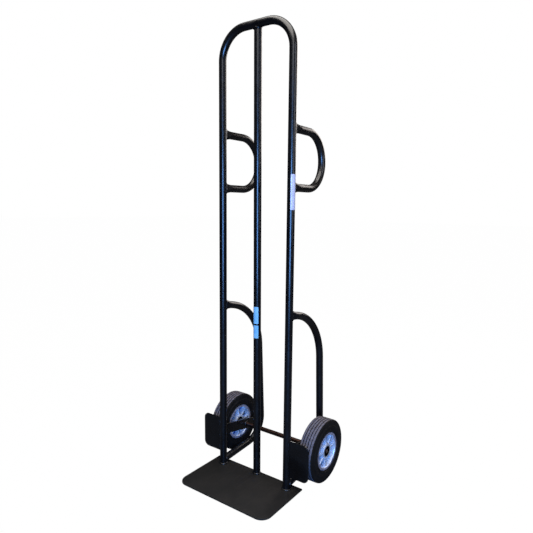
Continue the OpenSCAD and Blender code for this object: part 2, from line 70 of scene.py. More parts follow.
# Tubes of the frame
plate_low, plate_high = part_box("toe_plate")
PLATE_T = plate_high.z
TUBE_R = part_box("center_tube")[1].x
BEND_MARGIN = 0.25 * MM             # the frame's tubes are this much fatter in their bends
RAIL_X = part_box("main_frame_tube")[1].x - TUBE_R - BEND_MARGIN
TOP_H = cad_box[1][2] - 0.3 * MM
CROSSBAR_H = TOP_H - TUBE_R
TOP_BEND_R = 93 * MM
TUBE_FOOT_H = PLATE_T - 0.5 * MM    # tubes reach this far down, just into the plate
CENTER_FOOT_BACK = 19.5 * MM
CENTER_HEAD_BACK = 8 * MM
CENTER_HEAD_DROP = 4 * MM           # the centre tube ends this far under the crossbar's centre line
STRAIGHT_STEP = 60 * MM             # longest run between two sections of a straight tube

# D handles
HANDLE_LOW = 1006 * MM
HANDLE_TOP = 1186 * MM
HANDLE_REACH = 189 * MM
HANDLE_BEND_R = 88 * MM
HANDLE_STEP = 6 * MM                # longest run between two sections of a handle
HANDLE_TOE_IN = math.radians(1.3)

# Wheel frames
LOOP_TOP_H = 600 * MM
LOOP_CORNER = (198 * MM, 566 * MM)
LOOP_LOW_CORNER = (225 * MM, 34 * MM)
LOOP_TOP_R = 192 * MM
LOOP_LOW_R = 83 * MM
LOOP_FOOT_H = 18.1 * MM
LOOP_FOOT_ROOT = TUBE_R * 0.3       # the foot's end starts this far from the rail's centre line
LOOP_TOE_IN = math.radians(0.9)
LOOP_STEP = 8 * MM                  # longest run between two sections of a wheel frame
FLAT_LEN = 28 * MM
FLAT_H = 33 * MM
FLAT_W = 15 * MM
FLAT_ROOT = TUBE_R * 0.72           # a pressed end starts this far from its rail's centre line
FLAT_FADE = TUBE_R + FLAT_LEN - FLAT_ROOT   # length over which it turns round

# Axle and the pieces on it
axle_low, axle_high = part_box("axle")
AXLE_R = (axle_high.z - axle_low.z) / 2
AXLE_Y = (axle_high.y + axle_low.y) / 2
AXLE_Z = (axle_high.z + axle_low.z) / 2
AXLE_HALF = axle_high.x
BRACKET_H = 38 * MM
BRACKET_T = 6 * MM
BRACKET_SLOPE = math.radians(11.5)
SLEEVE_R = 10.75 * MM
WASHER_R = 15 * MM
WASHER_BORE_R = 8.25 * MM

# Wheels
tyre_low, tyre_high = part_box("right_tyre")
hub_low, hub_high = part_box("right_hub_outer_half")
WHEEL_OUT = (tyre_low.x + tyre_high.x) / 2
TYRE_R = AXLE_Z - tyre_low.z
TYRE_HALF = (tyre_high.x - tyre_low.x) / 2
TREAD_HALF = 27 * MM
SHOULDER_R = 6.5 * MM
GROOVE_COUNT = 4
GROOVE_W = 2.9 * MM
GROOVE_DEPTH = 3.2 * MM
HUB_HALF = hub_high.x - WHEEL_OUT
FLANGE_R = (hub_high.z - hub_low.z) / 2
BARREL_R = 60 * MM
BARREL_WALL = 5 * MM
FLANGE_T = 4 * MM
WEB_T = 4 * MM
BOSS_R = 26 * MM
BOSS_HALF = 26 * MM
SEAT_R = 17.48 * MM
SEAT_HALF = 17 * MM
RIB_COUNT = 8
RIB_TOP = 20 * MM                   # a rib's height from mid-wheel, at the barrel
RIB_RISE = 2.5 * MM                 # and how much higher it is at the boss
RIB_ROOT_HALF = 2.56 * MM
RIB_TOP_HALF = 1.52 * MM

# Bearings
BEARING_W = 12.7 * MM
RACE_R = 17.45 * MM
BALL_CIRCLE_R = 13.02 * MM
RACE_LAND = 1.82 * MM               # from the balls' circle to a race's edge

# Hub bolts and nuts
BOLT_COUNT = 4
BOLT_CIRCLE_R = 41 * MM
BOLT_R = 4 * MM
BOLT_FACE = 7 * MM                  # a pad's face, from mid-wheel
BOLT_TURN = math.radians(22.5)
BOLT_SINK = 1 * MM                  # the shank reaches this far into its head
BOLT_TAIL = 8.4 * MM                # and its tip this far past the other pad
HEAD_FLAT = 12.8 * MM               # across the flats of a head or nut
HEAD_H = 5.2 * MM
NUT_H = 6.4 * MM
THREAD_PITCH = 1.25 * MM
THREAD_CREST = 0.62 * MM
THREAD_DEPTH = 0.65 * MM

# Labels
LABEL_WRAP = math.radians(110)
LABEL_CORNER = 3 * MM
LABEL_IN, LABEL_OUT = TUBE_R + 0.03 * MM, TUBE_R + 0.32 * MM
SIDE_LABEL_TURN = math.radians(80)

# Welds
BEAD_R = 2.5 * MM
SEAM_GAP = 0.6 * MM                 # a seam stands this far off a plate or a pressed end
FOOT_SEAM_GAP = 1.2 * MM            # and this far off a rail's foot

ROUND = 56                          # facets round a tube
WHEEL_ROUND = 144                   # facets round a wheel


# ---------------------------------------------------------------- node helpers

def srgb(hex_colour, alpha=1.0):
    """Linear colour of an sRGB hex value such as "#1a1a1a"."""
    parts = [int(hex_colour[i:i + 2], 16) / 255 for i in (1, 3, 5)]
    linear = [p / 12.92 if p <= 0.04045 else ((p + 0.055) / 1.055) ** 2.4 for p in parts]
    return (*linear, alpha)


def add(tree, kind, inputs=None, **settings):
    """A new node with its settings; inputs maps a socket's name or number to a value or another socket."""
    node = tree.nodes.new(kind)
    for name, value in settings.items():
        setattr(node, name, value)
    for key, value in (inputs or {}).items():
        if isinstance(value, bpy.types.NodeSocket):
            tree.links.new(value, node.inputs[key])
        else:
            node.inputs[key].default_value = value
    return node


def new_finish(name, **constants):
    """A material whose constants are set on its shader's own sockets; returns it, its tree and shader."""
    mat = bpy.data.materials.new(name)
    mat.use_nodes = True
    shader = mat.node_tree.nodes["Principled BSDF"]
    for socket, value in constants.items():
        shader.inputs[socket.replace("_", " ")].default_value = value
    return mat, mat.node_tree, shader


def per_mm(size_mm):
    """Scale of a texture whose features are size_mm across, on coordinates in metres."""
    return 1 / (size_mm * MM)


def spread(tree, value, low, high, start=0.35, stop=0.65):
    """Turns a pattern's middle range, from start to stop, into low to high."""
    return add(tree, "ShaderNodeMapRange", {"Value": value, "From Min": start, "From Max": stop,
                                            "To Min": low, "To Max": high}).outputs["Result"]


# ---------------------------------------------------------------- finishes

def noise(tree, place, size_mm, detail, rough):
    """Pattern of soft blotches that are about size_mm across."""
    return add(tree, "ShaderNodeTexNoise", {"Vector": place, "Scale": per_mm(size_mm), "Detail": detail,
                                            "Roughness": rough}).outputs["Fac"]


def mixed(tree, share, first, second):
    """Colour between two colours or sockets."""
    return add(tree, "ShaderNodeMixRGB", {"Fac": share, "Color1": first, "Color2": second}).outputs["Color"]


def reckon(tree, operation, first, second):
    """Result of one sum on two values or sockets."""
    return add(tree, "ShaderNodeMath", {0: first, 1: second}, operation=operation).outputs[0]


def join_up(tree, shader, colour, rough, height, strength, depth):
    """Gives a shader its colour, its roughness and a bump whose pattern stands depth high."""
    bump = add(tree, "ShaderNodeBump", {"Strength": strength, "Distance": depth, "Height": height})
    for socket, value in (("Base Color", colour), ("Roughness", rough), ("Normal", bump.outputs["Normal"])):
        tree.links.new(value, shader.inputs[socket])


def object_place(tree):
    """Coordinates that stay with the piece."""
    return add(tree, "ShaderNodeTexCoord").outputs["Object"]


def edge_wear(tree, low, high, start, stop):
    """Pattern that goes from low in the hollows to high on the edges."""
    return spread(tree, add(tree, "ShaderNodeNewGeometry").outputs["Pointiness"], low, high, start, stop)


def powder_coat(name, deep, light, scuff):
    """Semi-gloss black powder coat on steel tube: orange peel about 2 mm across gives broken,
    softened highlights, and handling leaves duller, dustier patches and a few pale rubbed spots."""
    mat, tree, shader = new_finish(name, IOR=1.5, Coat_Weight=0.25, Coat_Roughness=0.12)
    place = object_place(tree)
    patches = noise(tree, place, 70, 4.0, 0.6)
    peel = noise(tree, place, 2.2, 2.0, 0.5)
    specks = noise(tree, place, 7, 6.0, 0.7)
    worn = reckon(tree, "MULTIPLY", spread(tree, specks, 0, 0.75, 0.62, 0.74),
                  edge_wear(tree, 0.12, 1, 0.5, 0.62))
    coat = mixed(tree, spread(tree, patches, 0, 1), srgb(deep), srgb(light))
    rough = reckon(tree, "ADD", spread(tree, patches, 0.2, 0.3), spread(tree, specks, 0, 0.08))
    join_up(tree, shader, mixed(tree, worn, coat, srgb(scuff)), rough, peel, 0.22, 0.12 * MM)
    return mat


def textured_coat():
    """Fine-textured black powder coat on steel plate: a matt grain under 1 mm, drawn at 1.3 mm so that
    it shows, with long faint scrapes left by loads that slid on and off from front to back."""
    mat, tree, shader = new_finish("textured_powder_coat_on_plate", IOR=1.5, Specular_IOR_Level=0.35)
    scrapes_per_metre = (260, 9, 60)
    slant = 0.12
    place = object_place(tree)
    grain = noise(tree, place, 1.3, 3.0, 0.65)
    patches = noise(tree, place, 90, 5.0, 0.6)
    drawn = add(tree, "ShaderNodeMapping", {"Vector": place, "Rotation": (0, 0, slant),
                                            "Scale": scrapes_per_metre}).outputs["Vector"]
    scrapes = add(tree, "ShaderNodeTexNoise", {"Vector": drawn, "Scale": 1.0, "Detail": 5.0,
                                               "Roughness": 0.7}).outputs["Fac"]
    base = mixed(tree, spread(tree, patches, 0, 1), srgb("#11100e"), srgb("#1d1a17"))
    mark = reckon(tree, "MULTIPLY", spread(tree, scrapes, 0, 0.5, 0.6, 0.78), spread(tree, grain, 0.3, 1))
    rough = reckon(tree, "SUBTRACT", spread(tree, grain, 0.5, 0.68), mark)
    join_up(tree, shader, mixed(tree, mark, base, srgb("#4a4540")), rough, grain, 0.5, 0.25 * MM)
    return mat


def bare_steel(name, clean, dull, grain_mm):
    """Plated, oiled or blackened steel, turned or stamped: a metal with cloudy patches about 6 mm wide,
    fine tool lines, and dull spots where fingers and weather have taken the shine."""
    mat, tree, shader = new_finish(name, Metallic=1.0)
    place = object_place(tree)
    clouds = noise(tree, place, 6, 4.0, 0.6)
    lines = noise(tree, place, grain_mm, 2.0, 0.5)
    colour = mixed(tree, spread(tree, clouds, 0, 1), srgb(clean), srgb(dull))
    join_up(tree, shader, colour, spread(tree, clouds, 0.24, 0.42), lines, 0.25, 0.05 * MM)
    return mat


def cast_aluminium(name, dull, bright, metal_share):
    """Die-cast aluminium under a thin cool silver lacquer: a fine cast grain about 1 mm across, soft flow
    clouds from the die, and painted shade, a dark blue, in the corners and pockets."""
    mat, tree, shader = new_finish(name, Metallic=metal_share)
    place = object_place(tree)
    clouds = noise(tree, place, 24, 4.0, 0.55)
    grain = noise(tree, place, 1.1, 3.0, 0.6)
    metal = mixed(tree, spread(tree, clouds, 0, 1), srgb(dull), srgb(bright))
    # painted shade: the hollows, found by pointiness, turn dark blue
    colour = mixed(tree, edge_wear(tree, 0.55, 0, 0.38, 0.49), metal, srgb("#1c2233"))
    join_up(tree, shader, colour, spread(tree, clouds, 0.3, 0.44), grain, 0.3, 0.12 * MM)
    return mat


def moulded_rubber(name, deep, dusty, rough_low, rough_high, dust_mm):
    """Solid moulded rubber: carbon black, near matt, with a skin grain under 1 mm drawn at 0.9 mm, and
    pale dust that floors rub into it, most of all on the tread."""
    mat, tree, shader = new_finish(name, IOR=1.52, Specular_IOR_Level=0.3)
    place = object_place(tree)
    dust = noise(tree, place, dust_mm, 6.0, 0.65)
    grain = noise(tree, place, 0.9, 2.0, 0.6)
    rub = reckon(tree, "MULTIPLY", spread(tree, dust, 0.1, 0.8), edge_wear(tree, 0.25, 1.1, 0.44, 0.54))
    join_up(tree, shader, mixed(tree, rub, srgb(deep), srgb(dusty)),
            spread(tree, dust, rough_low, rough_high), grain, 0.35, 0.12 * MM)
    return mat


def film_label(name, ground, faded):
    """Printed vinyl film on a tube: an even, slightly glossy colour that has faded in soft patches,
    with fine creases and grime that gathers in specks."""
    mat, tree, shader = new_finish(name, IOR=1.46, Coat_Weight=0.3, Coat_Roughness=0.15)
    place = object_place(tree)
    fade = noise(tree, place, 30, 3.0, 0.5)
    grime = noise(tree, place, 4, 6.0, 0.75)
    film = mixed(tree, spread(tree, fade, 0, 1), srgb(ground), srgb(faded))
    colour = mixed(tree, spread(tree, grime, 0, 0.35, 0.6, 0.8), film, srgb("#6f7478"))
    join_up(tree, shader, colour, spread(tree, fade, 0.3, 0.42), grime, 0.15, 0.1 * MM)
    return mat


FRAME_COAT = powder_coat("semi_gloss_black_powder_coat", "#060607", "#0c0c0e", "#4b4e55")
HANDLE_COAT = powder_coat("handled_black_powder_coat", "#0d0a09", "#1a1512", "#5d524b")
PLATE_COAT = textured_coat()
ZINC = bare_steel("zinc_plated_steel", "#b9bec6", "#8f939c", 0.8)
WIRE = bare_steel("oiled_steel_wire", "#3b3836", "#23211f", 0.6)
BAR_STEEL = bare_steel("blackened_bar_steel", "#7d5f55", "#453530", 1.0)
RACE_STEEL = bare_steel("oiled_bearing_steel", "#55565b", "#343539", 0.5)
CAST = cast_aluminium("silver_lacquered_casting", "#c3cbdd", "#f1f4fa", 0.45)
# painted shade and painted blue reflection: a darker, saturated blue copy of the casting for the floors of
# the hub's pockets
POCKET_SHADE_AND_REFLECTION = cast_aluminium("casting_with_painted_pocket_shade_and_blue_reflection", "#22386a", "#5b7db8", 0.45)
RIM_FACE = cast_aluminium("turned_rim_face", "#a39aa8", "#d3cddb", 0.5)
# partly dust, partly painted light: the tread is made much lighter than the side walls, as if lit from above
TREAD_DUST_AND_TOP_LIGHT = moulded_rubber("scuffed_tread_rubber_with_painted_top_light", "#454147", "#7a757e", 0.5, 0.72, 12)
SIDE_WALL = moulded_rubber("matt_side_wall_rubber", "#090706", "#17120f", 0.5, 0.75, 26)
# painted shade: near black rubber for the grooves' walls and floors
GROOVE_PAINTED_SHADE = moulded_rubber("groove_rubber_with_painted_shade", "#070707", "#121112", 0.7, 0.85, 9)
CUT_STEEL = bare_steel("saw_cut_steel", "#c9b6ae", "#8e7f7a", 0.9)
BLACK_STEEL = bare_steel("black_oxide_steel", "#1c1a1a", "#0f0e0f", 0.8)
SEAL = moulded_rubber("black_seal_rubber", "#0a0a0a", "#1c1b1b", 0.45, 0.6, 5)
BLUE_FILM = film_label("light_blue_label_film", "#7fc3ea", "#9bd2ee")
WHITE_FILM = film_label("white_label_film", "#d6d2e0", "#c5bfd2")


# ---------------------------------------------------------------- mesh helpers

def new_piece(name, bm, mats, body, stands_for=(), sharp=35):
    """Makes one finished piece of a mesh: smooth, split at its sharp edges, and riding on a body."""
    bmesh.ops.remove_doubles(bm, verts=bm.verts, dist=0.001 * MM)
    bmesh.ops.recalc_face_normals(bm, faces=bm.faces)
    for edge in bm.edges:
        edge.smooth = edge.calc_face_angle(math.pi) < math.radians(sharp)
    for face in bm.faces:
        face.smooth = True
    mesh = bpy.data.meshes.new(name)
    bm.to_mesh(mesh)
    bm.free()
    return place_piece(name, mesh, mats, body, stands_for)


def place_piece(name, mesh, mats, body, stands_for=()):
    """Gives a mesh its materials and an object at the origin that rides on a body."""
    for mat in mats:
        mesh.materials.append(mat)
    piece = bpy.data.objects.new(name, mesh)
    bpy.context.scene.collection.objects.link(piece)
    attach(piece, body)
    if stands_for:
        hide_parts(*stands_for)
    return piece


def rounded(corners, step=math.radians(12)):
    """Outline through corners (x, y, radius), with an arc at each corner that has a radius."""
    out = []
    for i, (x, y, r) in enumerate(corners):
        here = Vector((x, y))
        back = Vector(corners[i - 1][:2]) - here
        ahead = Vector(corners[(i + 1) % len(corners)][:2]) - here
        half = back.angle(ahead) / 2
        if r <= 0 or half > math.radians(88):
            out.append((x, y))
            continue
        r = min(r, min(back.length, ahead.length) * 0.48 * math.tan(half))
        middle = here + (back.normalized() + ahead.normalized()).normalized() * (r / math.sin(half))
        start = here + back.normalized() * (r / math.tan(half)) - middle
        sweep = math.pi - 2 * half
        turn = 1 if start.x * (here - middle).y - start.y * (here - middle).x > 0 else -1
        count = max(2, math.ceil(sweep / step))
        for k in range(count + 1):
            a = turn * sweep * k / count
            out.append((middle.x + start.x * math.cos(a) - start.y * math.sin(a),
                        middle.y + start.x * math.sin(a) + start.y * math.cos(a)))
    return out


def skin(bm, rings, close_rings=False):
    """Joins a list of vertex rings with quads; the faces at the two ends are left open."""
    pairs = list(zip(rings, rings[1:])) + ([(rings[-1], rings[0])] if close_rings else [])
    for a, b in pairs:
        for k in range(len(a)):
            m = (k + 1) % len(a)
            bm.faces.new((a[k], a[m], b[m], b[k]))


def close_ends(bm, rings):
    """Flat faces on the first and the last ring of a skin."""
    bm.faces.new(rings[0])
    bm.faces.new(rings[-1])


def lathe(bm, outline, side, facets, center_x=WHEEL_OUT, mark=None):
    """Turns a closed outline of (radius, distance outwards) round the axle's line."""
    rings = []
    for r, out in outline:
        rings.append([bm.verts.new((side * (center_x + out),
                                    AXLE_Y + r * math.cos(2 * math.pi * k / facets),
                                    AXLE_Z + r * math.sin(2 * math.pi * k / facets)))
                      for k in range(facets)])
    first = len(bm.faces)
    skin(bm, rings, close_rings=True)
    bm.faces.ensure_lookup_table()
    if mark:
        for face in bm.faces[first:]:
            middle = face.calc_center_median()
            radius = math.hypot(middle.y - AXLE_Y, middle.z - AXLE_Z)
            face.material_index = mark(radius, abs(middle.x) - center_x)


def bend_path(corners, radii, step=math.radians(4)):
    """Points along a bent bar in a plane: straight runs between corners (u, v), joined by round bends."""
    out = [Vector(corners[0])]
    for i in range(1, len(corners) - 1):
        here = Vector(corners[i])
        back = (Vector(corners[i - 1]) - here).normalized()
        ahead = (Vector(corners[i + 1]) - here).normalized()
        half = back.angle(ahead) / 2
        r = radii[i - 1]
        middle = here + (back + ahead).normalized() * (r / math.sin(half))
        start = here + back * (r / math.tan(half)) - middle
        sweep = math.pi - 2 * half
        turn = 1 if back.x * ahead.y - back.y * ahead.x < 0 else -1
        count = math.ceil(sweep / step)
        for k in range(count + 1):
            a = turn * sweep * k / count
            out.append(middle + Vector((start.x * math.cos(a) - start.y * math.sin(a),
                                        start.x * math.sin(a) + start.y * math.cos(a))))
    out.append(Vector(corners[-1]))
    return out


def refine(points, longest):
    """Adds points to a path so that no run is longer than longest."""
    out = [points[0]]
    for a, b in zip(points, points[1:]):
        count = max(1, math.ceil((b - a).length / longest))
        out += [a.lerp(b, k / count) for k in range(1, count + 1)]
    return out


def ring_angles(count):
    """Angles of count points spread evenly round a ring."""
    return [2 * math.pi * (k + 0.5) / count for k in range(count)]


def round_section():
    """Section of a plain tube."""
    return [(TUBE_R * math.cos(a), TUBE_R * math.sin(a)) for a in ring_angles(ROUND)]


def pressed_section(share):
    """Section of a tube that is pressed tall and narrow by share, from 0 (round) to 1 (full)."""
    soft = share * share * (3 - 2 * share)
    out = []
    for a in ring_angles(ROUND):
        flat = (FLAT_W / 2 * math.cos(a),
                FLAT_W / 2 * math.sin(a) + math.copysign((FLAT_H - FLAT_W) / 2, math.sin(a)))
        tube = (TUBE_R * math.cos(a), TUBE_R * math.sin(a))
        out.append(tuple(t + (f - t) * soft for t, f in zip(tube, flat)))
    return out


def sweep_bar(bm, points, section_at, place):
    """Skins a bar along a flat path. section_at(distance from start, distance from end) gives
    (sideways, in-plane) offsets, and place(sideways, u, v) gives a point of the object."""
    lengths = [0.0]
    for a, b in zip(points, points[1:]):
        lengths.append(lengths[-1] + (b - a).length)
    rings = []
    for i, point in enumerate(points):
        ahead = (points[min(i + 1, len(points) - 1)] - points[max(i - 1, 0)]).normalized()
        across = Vector((-ahead.y, ahead.x))
        section = section_at(lengths[i], lengths[-1] - lengths[i])
        rings.append([bm.verts.new(place(s, *(point + across * t))) for s, t in section])
    skin(bm, rings)
    close_ends(bm, rings)


def at_rail(side, toe_in):
    """Places (sideways, distance behind, height) of a loop behind one rail, turned in by toe_in."""
    turned = Matrix.Translation((side * RAIL_X, 0, 0)) @ Matrix.Rotation(side * toe_in, 4, "Z")
    return lambda sideways, back, height: turned @ Vector((sideways, back, height))


# ---------------------------------------------------------------- welded frame

def main_frame_tube():
    """One tube bent into both rails and the crossbar."""
    corners = [(-RAIL_X, TUBE_FOOT_H), (-RAIL_X, CROSSBAR_H), (RAIL_X, CROSSBAR_H), (RAIL_X, TUBE_FOOT_H)]
    bm = bmesh.new()
    sweep_bar(bm, refine(bend_path(corners, [TOP_BEND_R, TOP_BEND_R]), STRAIGHT_STEP),
              lambda start, end: round_section(), lambda s, x, z: Vector((x, s, z)))
    new_piece("main_frame_tube_bent", bm, [FRAME_COAT], "frame", ["main_frame_tube"])


def center_line(height):
    """Distance of the centre tube's line behind the rails at a height."""
    return CENTER_FOOT_BACK + (CENTER_HEAD_BACK - CENTER_FOOT_BACK) * height / CROSSBAR_H


def center_tube():
    """Straight tube from the toe plate up to the crossbar, which it leans against from below."""
    top = CROSSBAR_H - CENTER_HEAD_DROP
    ends = [Vector((center_line(PLATE_T), TUBE_FOOT_H)), Vector((center_line(top), top))]
    bm = bmesh.new()
    sweep_bar(bm, refine(ends, STRAIGHT_STEP), lambda start, end: round_section(),
              lambda s, y, z: Vector((s, y, z)))
    new_piece("center_tube_notched", bm, [FRAME_COAT], "frame", ["center_tube"])


def upper_handle(name, side):
    """D handle: one tube bent twice, both ends pressed tall and narrow where they meet the rail."""
    corners = [(FLAT_ROOT, HANDLE_LOW), (HANDLE_REACH, HANDLE_LOW), (HANDLE_REACH, HANDLE_TOP),
               (FLAT_ROOT, HANDLE_TOP)]
    points = refine(bend_path(corners, [HANDLE_BEND_R, HANDLE_BEND_R]), HANDLE_STEP)
    bm = bmesh.new()
    sweep_bar(bm, points, lambda start, end: pressed_section(max(0.0, 1 - min(start, end) / FLAT_FADE)),
              at_rail(side, HANDLE_TOE_IN))
    new_piece(f"{name}_upper_handle_bent", bm, [HANDLE_COAT], "frame",
              [f"{name}_upper_handle"])


def wheel_frame(name, side):
    """Tube from the rail's middle, down behind the wheel and forward again to the rail's foot."""
    bm = bmesh.new()
    sweep_bar(bm, refine(loop_path(), LOOP_STEP),
              lambda start, end: pressed_section(max(0.0, 1 - start / FLAT_FADE)), at_rail(side, LOOP_TOE_IN))
    new_piece(f"{name}_wheel_frame_bent", bm, [FRAME_COAT], "frame", [f"{name}_wheel_frame"])


def plate(name, outline, thickness, edge, place, mat, stands_for):
    """Flat plate of a given outline, drawn with its middle at zero thickness, with rounded edges."""
    bm = bmesh.new()
    sides = [bm.verts.new((x, y, -thickness / 2)) for x, y in outline]
    face = bm.faces.new(sides)
    raised = bmesh.ops.extrude_face_region(bm, geom=[face])["geom"]
    lifted = [v for v in raised if isinstance(v, bmesh.types.BMVert)]
    bmesh.ops.translate(bm, vec=(0, 0, thickness), verts=lifted)
    bmesh.ops.recalc_face_normals(bm, faces=bm.faces)
    rims = [e for e in bm.edges if abs(e.verts[0].co.z - e.verts[1].co.z) < thickness / 4
            and e.calc_face_angle(0) > math.radians(80)]
    bmesh.ops.bevel(bm, geom=rims, offset=edge, segments=3, profile=0.5, affect="EDGES", clamp_overlap=True)
    bmesh.ops.transform(bm, matrix=place, verts=bm.verts)
    new_piece(name, bm, [mat], "frame", stands_for)


def toe_plate():
    """Flat steel plate, its two front corners rounded and its edges eased."""
    front = 36 * MM
    back = 1.5 * MM
    eased = 0.9 * MM
    corners = [(plate_low.x, plate_low.y, front), (plate_high.x, plate_low.y, front),
               (plate_high.x, plate_high.y, back), (plate_low.x, plate_high.y, back)]
    plate("toe_plate_eased", rounded(corners, math.radians(6)), PLATE_T, eased,
          Matrix.Translation((0, 0, PLATE_T / 2)), PLATE_COAT, ["toe_plate"])


def wheel_guard(name, side):
    """Thin plate in front of a tyre, welded to the rail, its outer corners rounded."""
    low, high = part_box(f"{name}_wheel_guard")
    root = TUBE_R * 0.75
    corner = 20 * MM
    eased = 0.8 * MM
    inner = side * (RAIL_X + root)
    outer = high.x if side == RIGHT else low.x
    corners = [(inner, low.z, 0), (outer, low.z, corner), (outer, high.z, corner), (inner, high.z, 0)]
    stand = Matrix.Translation((0, (low.y + high.y) / 2, 0)) @ Matrix.Rotation(math.radians(90), 4, "X")
    plate(f"{name}_wheel_guard_eased", rounded(corners, math.radians(7)), high.y - low.y, eased,
          stand, FRAME_COAT, [f"{name}_wheel_guard"])


def loop_path():
    """Centre line of a wheel frame, as points (behind the rail, height), from its top end to its foot."""
    slope = Vector((LOOP_CORNER[0], LOOP_CORNER[1] - LOOP_TOP_H)).normalized()
    top = Vector((0, LOOP_TOP_H)) + slope * FLAT_ROOT
    return bend_path([tuple(top), LOOP_CORNER, LOOP_LOW_CORNER, (LOOP_FOOT_ROOT, LOOP_FOOT_H)],
                     [LOOP_TOP_R, LOOP_LOW_R])


def rear_tube_back(height):
    """Distance of the rear tube's centre line behind the rail at a height."""
    path = loop_path()
    for above, below in zip(path, path[1:]):
        if below.y <= height <= above.y:
            return above.x + (below.x - above.x) * (above.y - height) / (above.y - below.y)


def rear_tube_front(height, edge):
    """Distance of the rear tube's front behind the rail, at a height and edge beside the tube's middle."""
    near = 1 * MM
    lean = (rear_tube_back(height + near) - rear_tube_back(height - near)) / (2 * near)
    return rear_tube_back(height) - math.sqrt(TUBE_R ** 2 - edge ** 2) * math.hypot(1, lean)


def bracket_frame(side):
    """Matrix of a bracket's flat side: its X runs down its slope to the back, its Y across it."""
    stand = Matrix(((0, 0, 1, 0), (1, 0, 0, 0), (0, 1, 0, 0), (0, 0, 0, 1)))
    turned = Matrix.Translation((side * RAIL_X, 0, 0)) @ Matrix.Rotation(side * LOOP_TOE_IN, 4, "Z")
    sloping = Matrix.Translation((AXLE_Y, AXLE_Z, 0)) @ Matrix.Rotation(-BRACKET_SLOPE, 4, "Z")
    return turned @ stand @ sloping


def axle_bracket(name, side):
    """Flat bar from the rail to the rear tube, which carries the axle."""
    front_root = TUBE_R * 0.7
    rear_root = TUBE_R * 0.75
    eased = 0.8 * MM
    start = (front_root - AXLE_Y) / math.cos(BRACKET_SLOPE)
    stop = (rear_tube_back(AXLE_Z) - rear_root - AXLE_Y) / math.cos(BRACKET_SLOPE)
    corners = [(start, -BRACKET_H / 2, 0), (stop, -BRACKET_H / 2, 0),
               (stop, BRACKET_H / 2, 0), (start, BRACKET_H / 2, 0)]
    plate(f"{name}_axle_bracket_eased", rounded(corners), BRACKET_T, eased, bracket_frame(side),
          FRAME_COAT, [f"{name}_axle_bracket"])


# ---------------------------------------------------------------- weld beads

def new_group(name, result, inputs):
    """A geometry tree; returns it, the identifiers of its inputs by name, and its input node's sockets."""
    tree = bpy.data.node_groups.new(name, "GeometryNodeTree")
    sockets = {}
    for label, kind in inputs.items():
        socket = tree.interface.new_socket(label, in_out="INPUT", socket_type=f"NodeSocket{kind}")
        sockets[label] = socket.identifier
    tree.interface.new_socket(result, in_out="OUTPUT", socket_type="NodeSocketGeometry")
    return tree, sockets, add(tree, "NodeGroupInput").outputs


def weld_tree():
    """Lays a rippled weld bead along each path: the bead swells and narrows once every ripple."""
    tree, sockets, given = new_group("rippled_weld_bead", "Beads", {
        "Seams": "Geometry", "Bead Radius": "Float", "Ripple Pitch": "Float", "Ripple Depth": "Float",
        "Wander": "Float", "Seed": "Float", "Coat": "Material"})
    steps_per_ripple = 4.0
    bead_facets = 10
    step = reckon(tree, "DIVIDE", given["Ripple Pitch"], steps_per_ripple)
    line = add(tree, "GeometryNodeMeshToCurve", {"Mesh": given["Seams"]}).outputs["Curve"]
    even = add(tree, "GeometryNodeResampleCurve", {"Curve": line, "Length": step}, mode="LENGTH")
    even = even.outputs["Curve"]
    along = add(tree, "GeometryNodeSplineParameter").outputs["Length"]
    turns = reckon(tree, "DIVIDE", along, given["Ripple Pitch"])
    saw = add(tree, "ShaderNodeMath", {0: turns}, operation="FRACT").outputs[0]
    where = add(tree, "GeometryNodeInputPosition").outputs["Position"]
    drift = add(tree, "ShaderNodeTexNoise", {"Vector": where, "W": given["Seed"], "Scale": per_mm(6),
                                             "Detail": 2.0}, noise_dimensions="4D").outputs["Fac"]
    ripple = reckon(tree, "MULTIPLY", saw, given["Ripple Depth"])
    wander = reckon(tree, "MULTIPLY", drift, given["Wander"])
    scale = reckon(tree, "ADD", reckon(tree, "ADD", wander, ripple), 1.0)
    profile = add(tree, "GeometryNodeCurvePrimitiveCircle", {"Resolution": bead_facets,
                                                             "Radius": given["Bead Radius"]})
    beads = add(tree, "GeometryNodeCurveToMesh", {"Curve": even, "Profile Curve": profile.outputs["Curve"],
                                                  "Scale": scale, "Fill Caps": True}).outputs["Mesh"]
    soft = add(tree, "GeometryNodeSetShadeSmooth", {"Geometry": beads}).outputs["Geometry"]
    real = add(tree, "GeometryNodeRealizeInstances", {"Geometry": soft}).outputs["Geometry"]
    coated = add(tree, "GeometryNodeSetMaterial", {"Geometry": real, "Material": given["Coat"]})
    add(tree, "NodeGroupOutput", {"Beads": coated.outputs["Geometry"]})
    return tree, sockets


def grown(source, tree, sockets, values):
    """Plain mesh of a source mesh after a geometry tree, whose inputs are set by their identifiers."""
    seed = bpy.data.objects.new("source", source)
    bpy.context.scene.collection.objects.link(seed)
    grow = seed.modifiers.new("grow", "NODES")
    grow.node_group = tree
    for name, value in values.items():
        grow[sockets[name]] = value
    bpy.context.view_layer.update()
    mesh = bpy.data.meshes.new_from_object(seed.evaluated_get(bpy.context.evaluated_depsgraph_get()))
    mesh.materials.clear()
    seed.modifiers.remove(grow)
    bpy.data.objects.remove(seed)
    return mesh


def ring_seam(middle, radius, height, start=0.0, sweep=2 * math.pi, steps=64):
    """Seam round the foot of an upright tube."""
    x, y = middle
    turns = [start + sweep * k / steps for k in range(steps + 1)]
    return [Vector((x + radius * math.cos(a), y + radius * math.sin(a), height)) for a in turns]


def on_rail(place, outline, height):
    """Seam on the back of a rail, or on a rear tube, along an outline of (sideways, up)."""
    return [place(s, math.sqrt(max(TUBE_R ** 2 - s * s, 0)), height + up) for s, up in outline]


def flat_end_outline():
    """Outline round a pressed tube end, as (sideways, up)."""
    wide = 1 + SEAM_GAP / (FLAT_W / 2)
    high = 1 + SEAM_GAP / (FLAT_H / 2)
    section = pressed_section(1.0)
    return [(s * wide, u * high) for s, u in section + section[:1]]


